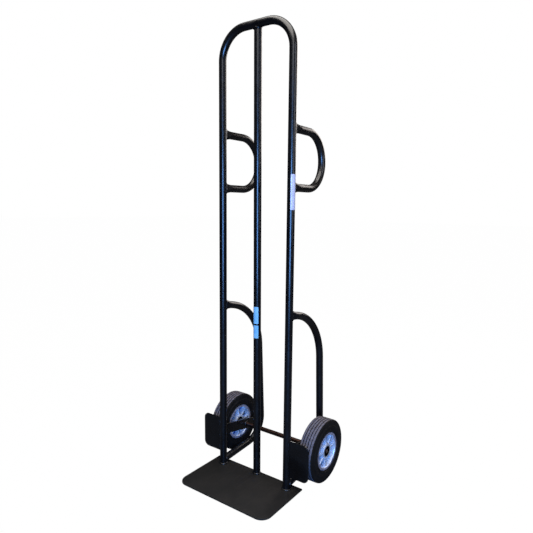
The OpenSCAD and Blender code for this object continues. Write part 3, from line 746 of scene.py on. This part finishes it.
def saddle_seam():
    """Seam round the centre tube's notched head, where it meets the crossbar."""
    radius = TUBE_R + 0.5 * MM
    least_drop = 4 * MM
    steps = 64
    seam = []
    for k in range(steps + 1):
        a = 2 * math.pi * k / steps
        y = CENTER_HEAD_BACK + radius * math.sin(a)
        drop = math.sqrt(max(TUBE_R ** 2 - y * y, least_drop ** 2))
        seam.append(Vector((radius * math.cos(a), y, CROSSBAR_H - drop)))
    return seam


def bracket_seams(place):
    """Upright seams on both faces of an axle bracket, at the rail and at the rear tube."""
    off_face = BRACKET_T / 2 + 0.7 * MM
    sink = 0.5 * MM
    trim = 2 * MM
    steps = 8
    ups = [BRACKET_H * (k / steps - 0.5) for k in range(steps + 1)]
    rise = AXLE_Y * math.tan(BRACKET_SLOPE)
    drop = (rear_tube_front(AXLE_Z, 0) - AXLE_Y) * math.tan(BRACKET_SLOPE)
    seams = []
    for edge in (-off_face, off_face):
        rail_back = math.sqrt(TUBE_R ** 2 - edge ** 2)
        seams.append([place(edge, rail_back + sink, AXLE_Z + rise - trim + up) for up in ups])
        heights = [AXLE_Z - drop + trim + up for up in ups]
        seams.append([place(edge, rear_tube_front(h, edge) - sink, h) for h in heights])
    return seams


def guard_seams(name, side):
    """Three short seams on each face of a wheel guard, where it meets the rail."""
    low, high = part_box(f"{name}_wheel_guard")
    lift = 0.4 * MM
    length = 0.18
    steps = 6
    seams = []
    for y in (low.y - SEAM_GAP, high.y + SEAM_GAP):
        x = side * (RAIL_X + math.sqrt(TUBE_R ** 2 - y * y) + lift)
        for start in (0.06, 0.41, 0.76):
            shares = [start + length * k / steps for k in range(steps + 1)]
            seams.append([Vector((x, y, low.z + (high.z - low.z) * share)) for share in shares])
    return seams


def side_seams(name, side):
    """Seams of one side of the truck: handle ends, wheel frame ends, axle bracket, guard and axle."""
    at_handle = at_rail(side, HANDLE_TOE_IN)
    at_loop = at_rail(side, LOOP_TOE_IN)
    top_sag = 2 * MM
    foot_fit = 0.94
    foot_lift = 1.5 * MM
    axle_gap = 1 * MM
    axle_steps = 40
    seams = [on_rail(at_handle, flat_end_outline(), h) for h in (HANDLE_LOW, HANDLE_TOP)]
    seams.append(on_rail(at_loop, flat_end_outline(), LOOP_TOP_H - top_sag))
    foot = [(TUBE_R * foot_fit * math.cos(a), max(TUBE_R * math.sin(a), PLATE_T + foot_lift - LOOP_FOOT_H))
            for a in ring_angles(48)]
    seams.append(on_rail(at_loop, foot + foot[:1], LOOP_FOOT_H))
    seams += bracket_seams(at_loop)
    seams += guard_seams(name, side)
    inner_face = side * (RAIL_X - AXLE_Y * math.sin(LOOP_TOE_IN) - BRACKET_T / 2)
    radius = AXLE_R + axle_gap
    turns = [2 * math.pi * k / axle_steps for k in range(axle_steps + 1)]
    seams.append([Vector((inner_face, AXLE_Y + radius * math.cos(a), AXLE_Z + radius * math.sin(a)))
                  for a in turns])
    return seams


def weld_beads():
    """Beads at every joint of the welded frame, laid along seams worked out from the pieces they join."""
    foot_h = PLATE_T + 0.9 * MM
    center_gap = FOOT_SEAM_GAP * 0.6
    center_from, center_sweep = math.radians(152), math.radians(236)
    seams = [ring_seam((side * RAIL_X, 0), TUBE_R + FOOT_SEAM_GAP, foot_h) for side in (LEFT, RIGHT)]
    seams.append(ring_seam((0, CENTER_FOOT_BACK), TUBE_R + center_gap, foot_h, center_from, center_sweep))
    seams.append(saddle_seam())
    for name, side in SIDES.items():
        seams += side_seams(name, side)
    source = bpy.data.meshes.new("seams")
    verts = [tuple(p) for seam in seams for p in seam]
    edges = []
    first = 0
    for seam in seams:
        edges += [(first + k, first + k + 1) for k in range(len(seam) - 1)]
        first += len(seam)
    source.from_pydata(verts, edges, [])
    tree, sockets = weld_tree()
    mesh = grown(source, tree, sockets, {"Bead Radius": BEAD_R, "Ripple Pitch": 2.2 * MM,
                                         "Ripple Depth": 0.16, "Wander": 0.25, "Seed": 4.0,
                                         "Coat": FRAME_COAT})
    place_piece("weld_beads", mesh, [FRAME_COAT], "frame")


# ---------------------------------------------------------------- axle and what sits on it

def ring_outline(inner, outer, start, stop, ease):
    """Outline of a plain ring, as (radius, distance outwards), with eased corners."""
    return rounded([(inner, start, ease), (outer, start, ease), (outer, stop, ease), (inner, stop, ease)],
                   math.radians(30))


def axle():
    """Round bar through both brackets, its two ends chamfered."""
    chamfer = 1.2 * MM
    bm = bmesh.new()
    rings = []
    for x, r in ((-AXLE_HALF, AXLE_R - chamfer), (-AXLE_HALF + chamfer, AXLE_R),
                 (AXLE_HALF - chamfer, AXLE_R), (AXLE_HALF, AXLE_R - chamfer)):
        rings.append([bm.verts.new((x, AXLE_Y + r * math.cos(a), AXLE_Z + r * math.sin(a)))
                      for a in ring_angles(ROUND)])
    skin(bm, rings)
    for end in (rings[0], rings[-1]):
        bm.faces.new(end).material_index = 1
    new_piece("axle_bar", bm, [BAR_STEEL, CUT_STEEL], "frame", ["axle"], sharp=30)


def cotter_pin(name, side):
    """Split pin of bent wire: an eye on top, two legs through the axle, both ends bent aside."""
    from_end = 5 * MM
    wire_r = 0.72 * MM
    eye_r = 2.6 * MM
    top = AXLE_R + 3 * MM
    low = -AXLE_R - 1.8 * MM
    tail = 4.6 * MM
    bend = math.radians(35)
    eye_start, eye_sweep, eye_steps = -107, 326, 24
    points = [Vector((-wire_r - tail * math.sin(bend), low - tail * math.cos(bend))), Vector((-wire_r, low)),
              Vector((-wire_r, top))]
    for k in range(1, eye_steps):
        a = math.radians(eye_start - eye_sweep * k / eye_steps)
        points.append(Vector((eye_r * math.cos(a), top + eye_r + eye_r * math.sin(a))))
    points += [Vector((wire_r, top)), Vector((wire_r, low)),
               Vector((wire_r + tail * math.sin(bend), low - tail * math.cos(bend)))]
    wire = [(wire_r * math.cos(a), wire_r * math.sin(a)) for a in ring_angles(12)]
    x = side * (AXLE_HALF - from_end)
    bm = bmesh.new()
    sweep_bar(bm, points, lambda start, end: wire, lambda s, y, z: Vector((x + s, AXLE_Y + y, AXLE_Z + z)))
    new_piece(f"{name}_cotter_pin_split", bm, [WIRE], "frame", [f"{name}_cotter_pin"])


def ring_on_axle(name, made, side, inner_r, outer_r, ease, mat):
    """One sleeve or washer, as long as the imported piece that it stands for."""
    low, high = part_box(name)
    start, stop = sorted((abs(low.x), abs(high.x)))
    bm = bmesh.new()
    lathe(bm, ring_outline(inner_r, outer_r, start, stop, ease), side, ROUND, center_x=0)
    new_piece(f"{name}_{made}", bm, [mat], "frame", [name])


def axle_pieces(name, side):
    """Sleeve, washer and cotter pin of one side, which stay still while the wheel turns."""
    ring_on_axle(f"{name}_axle_sleeve", "turned", side, AXLE_R + 0.05 * MM, SLEEVE_R, 0.6 * MM,
                 ZINC)
    ring_on_axle(f"{name}_axle_washer", "stamped", side, WASHER_BORE_R, WASHER_R, 0.4 * MM,
                 BLACK_STEEL)
    cotter_pin(name, side)


# ---------------------------------------------------------------- wheels

def ring_tree():
    """Turns copies of a piece round the axle's line, evenly spaced from a starting angle."""
    tree, sockets, given = new_group("pieces_round_an_axle", "Ring", {
        "Piece": "Geometry", "Count": "Int", "First Angle": "Float", "Centre": "Vector",
        "Finish": "Material"})
    spots = add(tree, "GeometryNodePoints", {"Count": given["Count"]}).outputs["Points"]
    index = add(tree, "GeometryNodeInputIndex").outputs["Index"]
    share = reckon(tree, "DIVIDE", index, given["Count"])
    turn = add(tree, "ShaderNodeMath", {0: share, 1: 2 * math.pi, 2: given["First Angle"]},
               operation="MULTIPLY_ADD").outputs[0]
    spin = add(tree, "ShaderNodeCombineXYZ", {"X": turn}).outputs["Vector"]
    copies = add(tree, "GeometryNodeInstanceOnPoints", {"Points": spots, "Instance": given["Piece"],
                                                        "Rotation": spin}).outputs["Instances"]
    real = add(tree, "GeometryNodeRealizeInstances", {"Geometry": copies}).outputs["Geometry"]
    there = add(tree, "GeometryNodeTransform", {"Geometry": real, "Translation": given["Centre"]})
    done = add(tree, "GeometryNodeSetMaterial", {"Geometry": there.outputs["Geometry"],
                                                 "Material": given["Finish"]})
    add(tree, "NodeGroupOutput", {"Ring": done.outputs["Geometry"]})
    return tree, sockets


RING_TREE, RING_SOCKETS = ring_tree()


def ring_of(bm, count, first_angle, mat):
    """Mesh of count copies of a piece drawn on the +Y side of the axle's line, round that line."""
    bmesh.ops.recalc_face_normals(bm, faces=bm.faces)
    one = bpy.data.meshes.new("one")
    bm.to_mesh(one)
    bm.free()
    return grown(one, RING_TREE, RING_SOCKETS, {"Count": count, "First Angle": first_angle,
                                                "Centre": (0.0, AXLE_Y, AXLE_Z), "Finish": mat})


def tyre_outline():
    """Closed outline of the tyre: seat, side walls with raised bands, shoulders and grooved tread."""
    fit = 0.1 * MM
    edge = FLANGE_R + 0.4 * MM
    ridge_count, ridge_pitch, ridge_h = 3, 2.3, 0.6 * MM
    seat = HUB_HALF - FLANGE_T - fit
    half = [(BARREL_R + fit, seat, 0), (edge, seat, 0), (edge, HUB_HALF + fit, 0.6 * MM),
            (FLANGE_R + 1.6 * MM, HUB_HALF + 1.2 * MM, 0.5 * MM)]
    for ridge in range(ridge_count):
        r = FLANGE_R + (2.6 + ridge_pitch * ridge) * MM
        foot = HUB_HALF + (1.3 + 0.1 * ridge) * MM
        half += [(r, foot, 0.2 * MM), (r + 0.4 * MM, foot + ridge_h, 0.3 * MM),
                 (r + 1.2 * MM, foot + ridge_h, 0.3 * MM), (r + 1.6 * MM, foot, 0.2 * MM)]
    half += [(FLANGE_R + 12 * MM, TYRE_HALF - 0.6 * MM, 2 * MM), (FLANGE_R + 14 * MM, TYRE_HALF, 0.8 * MM),
             (FLANGE_R + 22.5 * MM, TYRE_HALF, 1 * MM),
             (FLANGE_R + 24.5 * MM, TYRE_HALF - 1.4 * MM, 1.5 * MM),
             (TYRE_R - SHOULDER_R, TREAD_HALF + 0.4 * MM, 3 * MM),
             (TYRE_R - 0.4 * MM, TREAD_HALF - 2.2 * MM, 2.4 * MM)]
    pitch = (TREAD_HALF - SHOULDER_R * 0.2) * 2 / (GROOVE_COUNT + 1)
    lip, floor, draft = 0.6 * MM, 0.9 * MM, 0.3 * MM
    tread = []
    for k in range(GROOVE_COUNT):
        middle = ((GROOVE_COUNT - 1) / 2 - k) * pitch
        tread += [(TYRE_R, middle + GROOVE_W / 2, lip),
                  (TYRE_R - GROOVE_DEPTH, middle + GROOVE_W / 2 - draft, floor),
                  (TYRE_R - GROOVE_DEPTH, middle - GROOVE_W / 2 + draft, floor),
                  (TYRE_R, middle - GROOVE_W / 2, lip)]
    other = [(r, -x, fillet) for r, x, fillet in reversed(half)]
    return rounded(half + tread + other, math.radians(22))


def tyre_zone(r, out):
    """Finish of a tyre's face by its place: 1 on a side wall, 0 on the tread's top (dust and painted light
    from above), 2 in a groove (painted shade).
    """
    if abs(out) > TREAD_HALF - 2 * MM:
        return 1
    # painted shade in the grooves, and dust with painted light on the tread's top
    return 0 if r > TYRE_R - 0.8 * MM else 2


def tyre(name, side):
    """Solid rubber tyre with four grooves; its tread is lighter with dust and painted light from above, its
    grooves darker with painted shade, and its side walls dark.
    """
    bm = bmesh.new()
    lathe(bm, tyre_outline(), side, WHEEL_ROUND, mark=tyre_zone)
    new_piece(f"{name}_tyre_grooved", bm, [TREAD_DUST_AND_TOP_LIGHT, SIDE_WALL, GROOVE_PAINTED_SHADE], f"{name}_wheel",
              [f"{name}_tyre"], sharp=50)


def hub_outline():
    """Closed outline of half a hub, from mid-wheel outwards, with the draft and fillets of a casting."""
    mid = 0.1 * MM
    bore = SEAT_R - 4 * MM
    floor = SEAT_HALF - BEARING_W - mid
    inside = BARREL_R - BARREL_WALL
    return rounded([
        (bore, mid, 0), (bore, floor, 0.3 * MM), (SEAT_R, floor, 0.2 * MM), (SEAT_R, BOSS_HALF, 0.8 * MM),
        (BOSS_R - 0.8 * MM, BOSS_HALF, 1.2 * MM), (BOSS_R + 0.8 * MM, WEB_T, 3 * MM),
        (inside - 1.2 * MM, WEB_T, 4 * MM), (inside + 0.6 * MM, HUB_HALF - 3 * MM, 2 * MM),
        (inside + 2.4 * MM, HUB_HALF, 1.2 * MM), (FLANGE_R, HUB_HALF, 1.4 * MM),
        (FLANGE_R, HUB_HALF - FLANGE_T, 0.4 * MM), (BARREL_R, HUB_HALF - FLANGE_T, 0.3 * MM),
        (BARREL_R, mid, 0)], math.radians(18))


def rib_shape(side, face):
    """One tapered rib from the boss to the barrel, drawn along +Y from the wheel's own axis."""
    sink = 1 * MM
    inner = BOSS_R - sink
    outer = BARREL_R - BARREL_WALL + sink
    root = WEB_T - sink
    bm = bmesh.new()
    for y, top in ((inner, RIB_TOP + RIB_RISE), (outer, RIB_TOP)):
        for z, x in ((-RIB_ROOT_HALF, root), (RIB_ROOT_HALF, root), (RIB_TOP_HALF, top),
                     (-RIB_TOP_HALF, top)):
            bm.verts.new((side * (WHEEL_OUT + face * x), y, z))
    bm.verts.ensure_lookup_table()
    v = bm.verts
    for k in range(4):
        m = (k + 1) % 4
        bm.faces.new((v[k], v[m], v[4 + m], v[4 + k]))
    bm.faces.new(v[0:4])
    bm.faces.new(v[4:8])
    bmesh.ops.recalc_face_normals(bm, faces=bm.faces)
    bmesh.ops.bevel(bm, geom=list(bm.edges), offset=0.7 * MM, segments=2, profile=0.5, affect="EDGES")
    return bm


def pad_shape(side, face):
    """Round pad that a hub bolt bears on, drawn along +Y from the wheel's own axis."""
    profile = ((9.4, 3), (9.2, 4.2), (8.1, 6.4), (7.4, 7.0), (4.4, 7.0))    # (radius, from mid-wheel) in mm
    bm = bmesh.new()
    rings = []
    for r, x in profile:
        out = side * (WHEEL_OUT + face * x * MM)
        rings.append(ring_at(bm, out, r * MM, 32))
    skin(bm, rings)
    close_ends(bm, rings)
    return bm


def ring_at(bm, x, r, facets):
    """Ring of points round a hub bolt's line, drawn on the +Y side of the wheel's own axis."""
    return [bm.verts.new((x, BOLT_CIRCLE_R + r * math.cos(a), r * math.sin(a))) for a in ring_angles(facets)]


def hub_zone(r, out):
    """Finish of a hub's face by its place: 1 turned rim, 3 painted shade in the central recess, 2 painted
    shade and painted blue reflection on a pocket's floor, 0 the rest.
    """
    if r > BARREL_R - BARREL_WALL + 1.5 * MM:
        return 1
    # painted shade: the seat and bore take the dark black oxide finish, darkening the hub's central recess
    if r < SEAT_R + 1.5 * MM:
        return 3
    # painted shade and painted blue reflection on the pockets' floors
    return 2 if abs(out) < WEB_T + 3 * MM else 0


def hub_half(name, side, face, part):
    """Half of a hub: a lathed casting with ribs and bolt pads cast on."""
    bm = bmesh.new()
    lathe(bm, [(r, face * x) for r, x in hub_outline()], side, WHEEL_ROUND, mark=hub_zone)
    for shape, count, first in ((rib_shape, RIB_COUNT, 0.0), (pad_shape, BOLT_COUNT, BOLT_TURN)):
        bm.from_mesh(ring_of(shape(side, face), count, first, CAST))
    new_piece(f"{name}_hub_{part}_cast", bm, [CAST, RIM_FACE, POCKET_SHADE_AND_REFLECTION, BLACK_STEEL], f"{name}_wheel",
              [f"{name}_hub_{part}_half"])


def hex_head(bm, side, start, height, bore):
    """Hexagon head or nut with a turned chamfer, on a bolt's line, from start outwards."""
    inner = HEAD_FLAT / 2
    top_share = 0.93
    chamfer = math.tan(math.radians(28))
    rings = []
    for share, grow, hexed in ((0.0, 0.955, False), (0.06, 1.0, True), (0.82, 1.0, True),
                               (1.0, top_share, False)):
        ring = []
        for a in ring_angles(48):
            hex_r = inner / math.cos((a + math.pi / 6) % (math.pi / 3) - math.pi / 6)
            r = hex_r if hexed else inner * grow
            lift = height * share
            if hexed and share > 0.5:
                lift = height - (hex_r - inner * top_share) * chamfer
            x = side * (start + lift)
            ring.append(bm.verts.new((x, BOLT_CIRCLE_R + r * math.cos(a), r * math.sin(a))))
        rings.append(ring)
    if bore:
        rings += [ring_at(bm, side * (start + lift), bore, 48) for lift in (height, 0.0)]
        skin(bm, rings, close_rings=True)
    else:
        skin(bm, rings)
        close_ends(bm, rings)


def bolt_ring(name, bm, body, node):
    """Copies of one bolt or nut on the hub's bolt circle."""
    out = bmesh.new()
    out.from_mesh(ring_of(bm, BOLT_COUNT, BOLT_TURN, ZINC))
    new_piece(name, out, [ZINC], body, [node], sharp=28)


def hub_bolts(name, side):
    """Four hexagon bolts with rolled threads, heads on the outer side."""
    bm = bmesh.new()
    hex_head(bm, side, WHEEL_OUT + BOLT_FACE, HEAD_H, None)
    tip = WHEEL_OUT - BOLT_FACE - BOLT_TAIL
    thread_end = WHEEL_OUT - 3 * MM
    profile = [(tip, BOLT_R - 1 * MM), (tip + 0.8 * MM, BOLT_R - 0.1 * MM)]
    x = tip + 1.2 * MM
    while x < thread_end:
        profile += [(x, BOLT_R - THREAD_DEPTH), (x + THREAD_CREST, BOLT_R)]
        x += THREAD_PITCH
    profile.append((WHEEL_OUT + BOLT_FACE + BOLT_SINK, BOLT_R))
    rings = [ring_at(bm, side * px, r, 20) for px, r in profile]
    skin(bm, rings)
    close_ends(bm, rings)
    bolt_ring(f"{name}_hub_bolts_hex", bm, f"{name}_wheel", f"{name}_hub_bolts")


def hub_nuts(name, side):
    """Four hexagon nuts on the inner side."""
    bm = bmesh.new()
    hex_head(bm, side, WHEEL_OUT - BOLT_FACE - NUT_H, NUT_H, BOLT_R + 0.05 * MM)
    bolt_ring(f"{name}_hub_nuts_hex", bm, f"{name}_wheel", f"{name}_hub_nuts")


def bearings(name, side):
    """Races of both bearings, ground and eased, and the rubber seals that close them."""
    inner_edge = BALL_CIRCLE_R - RACE_LAND
    outer_edge = BALL_CIRCLE_R + RACE_LAND
    for kind, inner, outer, body in (("inner", AXLE_R + 0.05 * MM, inner_edge, "frame"),
                                     ("outer", outer_edge, RACE_R, f"{name}_wheel")):
        bm = bmesh.new()
        for start in (SEAT_HALF - BEARING_W, -SEAT_HALF):
            lathe(bm, ring_outline(inner, outer, start, start + BEARING_W, 0.4 * MM), side, ROUND)
        new_piece(f"{name}_bearing_{kind}_races_ground", bm, [RACE_STEEL], body,
                  [f"{name}_bearing_{kind}_races"])
    seal_t = 0.8 * MM
    recess = 0.5 * MM
    bm = bmesh.new()
    for x in (SEAT_HALF - recess - seal_t, -SEAT_HALF + recess):
        lathe(bm, ring_outline(inner_edge + 0.15 * MM, outer_edge + 0.3 * MM, x, x + seal_t, 0.2 * MM),
              side, ROUND)
    new_piece(f"{name}_bearing_seals", bm, [SEAL], f"{name}_wheel")


def refinish(node, mat):
    """Gives a CAD node that stays in view its finish."""
    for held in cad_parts[node].material_slots:
        held.material = mat


def wheel(name, side):
    """Everything that turns with one wheel, and the bearing races that it turns on."""
    tyre(name, side)
    hub_half(name, side, 1, "outer")
    hub_half(name, side, -1, "inner")
    hub_bolts(name, side)
    hub_nuts(name, side)
    bearings(name, side)


# ---------------------------------------------------------------- labels

def wrapped_label(node, mat, middle, lean, facing):
    """Film label with rounded corners, wrapped round a tube whose centre line is middle + lean x height."""
    low, high = (end.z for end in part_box(node))
    arc = LABEL_WRAP * LABEL_IN
    steps = 24
    stops = [LABEL_CORNER * (1 - math.cos(math.radians(15 * k))) for k in range(7)]
    across = stops + [LABEL_CORNER + (arc - 2 * LABEL_CORNER) * k / steps for k in range(1, steps)]
    across += [arc - s for s in reversed(stops)]
    bm = bmesh.new()
    columns = []
    for s in across:
        near = max(LABEL_CORNER - min(s, arc - s), 0)
        cut = LABEL_CORNER - math.sqrt(max(LABEL_CORNER ** 2 - near ** 2, 0))
        a = facing - LABEL_WRAP / 2 + s / LABEL_IN
        column = []
        for r, h in ((LABEL_IN, low + cut), (LABEL_OUT, low + cut), (LABEL_OUT, high - cut),
                     (LABEL_IN, high - cut)):
            line = middle + lean * h
            column.append(bm.verts.new((line.x + r * math.cos(a), line.y + r * math.sin(a), h)))
        columns.append(column)
    skin(bm, columns)
    close_ends(bm, columns)
    new_piece(f"{node}_film", bm, [mat], "frame", [node], sharp=40)


def labels():
    """Two plain blue labels on the centre tube and one plain white label on the right rail."""
    foot = Vector((0, CENTER_FOOT_BACK, 0))
    lean = Vector((0, (CENTER_HEAD_BACK - CENTER_FOOT_BACK) / CROSSBAR_H, 0))
    front = math.radians(-90)
    for part in ("lower", "upper"):
        wrapped_label(f"front_label_{part}", BLUE_FILM, foot, lean, front)
    wrapped_label("side_label", WHITE_FILM, Vector((RAIL_X, 0, 0)), Vector((0, 0, 0)),
                  front + SIDE_LABEL_TURN)


# ---------------------------------------------------------------- stage

def camera():
    """Camera just under a metre up, before the truck's right side, turned 35 degrees and tipped down."""
    place = (0.98387, -1.25113, 0.94775)
    yaw, pitch, roll = 0.6059, -0.1344, 0.0149
    level = Vector((math.cos(yaw), math.sin(yaw), 0))
    ahead = Vector((-math.sin(yaw) * math.cos(pitch), math.cos(yaw) * math.cos(pitch), math.sin(pitch)))
    upright = level.cross(ahead)
    right = level * math.cos(roll) + upright * math.sin(roll)
    up = upright * math.cos(roll) - level * math.sin(roll)
    data = bpy.data.cameras.new("studio_camera")
    data.sensor_width = 36
    data.lens = 32.444
    data.shift_x = -0.03217
    data.shift_y = 0.008914
    data.dof.use_dof = False
    view = bpy.data.objects.new("studio_camera", data)
    turned = Matrix((right, up, -ahead)).transposed().to_4x4()
    view.matrix_world = Matrix.Translation(place) @ turned
    bpy.context.scene.collection.objects.link(view)
    bpy.context.scene.camera = view


def softbox(name, place, target, size, power, colour):
    """Rectangular area light aimed at a point."""
    data = bpy.data.lights.new(name, "AREA")
    data.shape = "RECTANGLE"
    data.size, data.size_y = size
    data.energy = power
    data.color = srgb(colour)[:3]
    light = bpy.data.objects.new(name, data)
    aim = (Vector(place) - Vector(target)).to_track_quat("Z", "Y").to_matrix().to_4x4()
    light.matrix_world = Matrix.Translation(place) @ aim
    bpy.context.scene.collection.objects.link(light)


def pale_floor():
    """Wide floor that looks white to the camera and lights the object like a dark grey one."""
    half = 30
    drop = 0.2 * MM
    glow_share, glow = 0.92, 1.08
    bm = bmesh.new()
    bmesh.ops.create_grid(bm, x_segments=1, y_segments=1, size=half)
    bmesh.ops.translate(bm, vec=(0, 0, -drop), verts=bm.verts)
    mesh = bpy.data.meshes.new("floor")
    bm.to_mesh(mesh)
    bm.free()
    mat, tree, shader = new_finish("pale_studio_floor", Roughness=0.9)
    shader.inputs["Base Color"].default_value = srgb("#444444")
    seen = add(tree, "ShaderNodeLightPath").outputs["Is Camera Ray"]
    share = reckon(tree, "MULTIPLY", seen, glow_share)
    pale = add(tree, "ShaderNodeEmission", {"Color": srgb("#ffffff"), "Strength": glow}).outputs["Emission"]
    both = add(tree, "ShaderNodeMixShader", {0: share, 1: shader.outputs["BSDF"], 2: pale}).outputs["Shader"]
    tree.links.new(both, tree.nodes["Material Output"].inputs["Surface"])
    mesh.materials.append(mat)
    ground = bpy.data.objects.new("floor", mesh)
    bpy.context.scene.collection.objects.link(ground)


def surround():
    """World that looks white to the camera and gives almost no light."""
    unseen, in_view = 0.03, 1.0
    world = bpy.data.worlds.new("pale_surround")
    bpy.context.scene.world = world
    world.use_nodes = True
    tree = world.node_tree
    seen = add(tree, "ShaderNodeLightPath").outputs["Is Camera Ray"]
    strength = add(tree, "ShaderNodeMapRange", {"Value": seen, "To Min": unseen, "To Max": in_view})
    sky = tree.nodes["Background"]
    sky.inputs["Color"].default_value = srgb("#ffffff")
    tree.links.new(strength.outputs["Result"], sky.inputs["Strength"])


def studio():
    """White floor and surround, and soft lights: one overhead, a tall cool panel and a high weak one in
    front, one behind and one at the right. Each row is name, place, target, size, watts and colour."""
    pale_floor()
    surround()
    for row in (("overhead_softbox", (0.2, -0.6, 3.0), (0, 0, 0.4), (2.4, 2.4), 90, "#fffaf4"),
                ("cool_front_panel", (1.4, -1.9, 0.84), (0, 0, 0.84), (0.9, 1.04), 62, "#70acff"),
                ("high_front_panel", (1.3, -2.0, 2.3), (0, 0, 1.2), (1.6, 0.8), 8, "#ffffff"),
                ("rear_softbox", (0.3, 2.5, 1.9), (0, 0, 0.2), (1.8, 1.2), 26, "#fff6f0"),
                ("side_softbox", (2.6, 0.2, 1.6), (0, 0, 0.6), (0.8, 1.8), 13, "#eef1ff")):
        softbox(*row)
    bpy.context.scene.view_settings.view_transform = "Standard"


# ---------------------------------------------------------------- the object

camera()
main_frame_tube()
center_tube()
toe_plate()
weld_beads()
axle()
for side_name, side_sign in SIDES.items():
    upper_handle(side_name, side_sign)
    wheel_frame(side_name, side_sign)
    axle_bracket(side_name, side_sign)
    wheel_guard(side_name, side_sign)
    axle_pieces(side_name, side_sign)
    wheel(side_name, side_sign)
    refinish(f"{side_name}_bearing_spacer", ZINC)
    refinish(f"{side_name}_bearing_balls", RACE_STEEL)
labels()
studio()
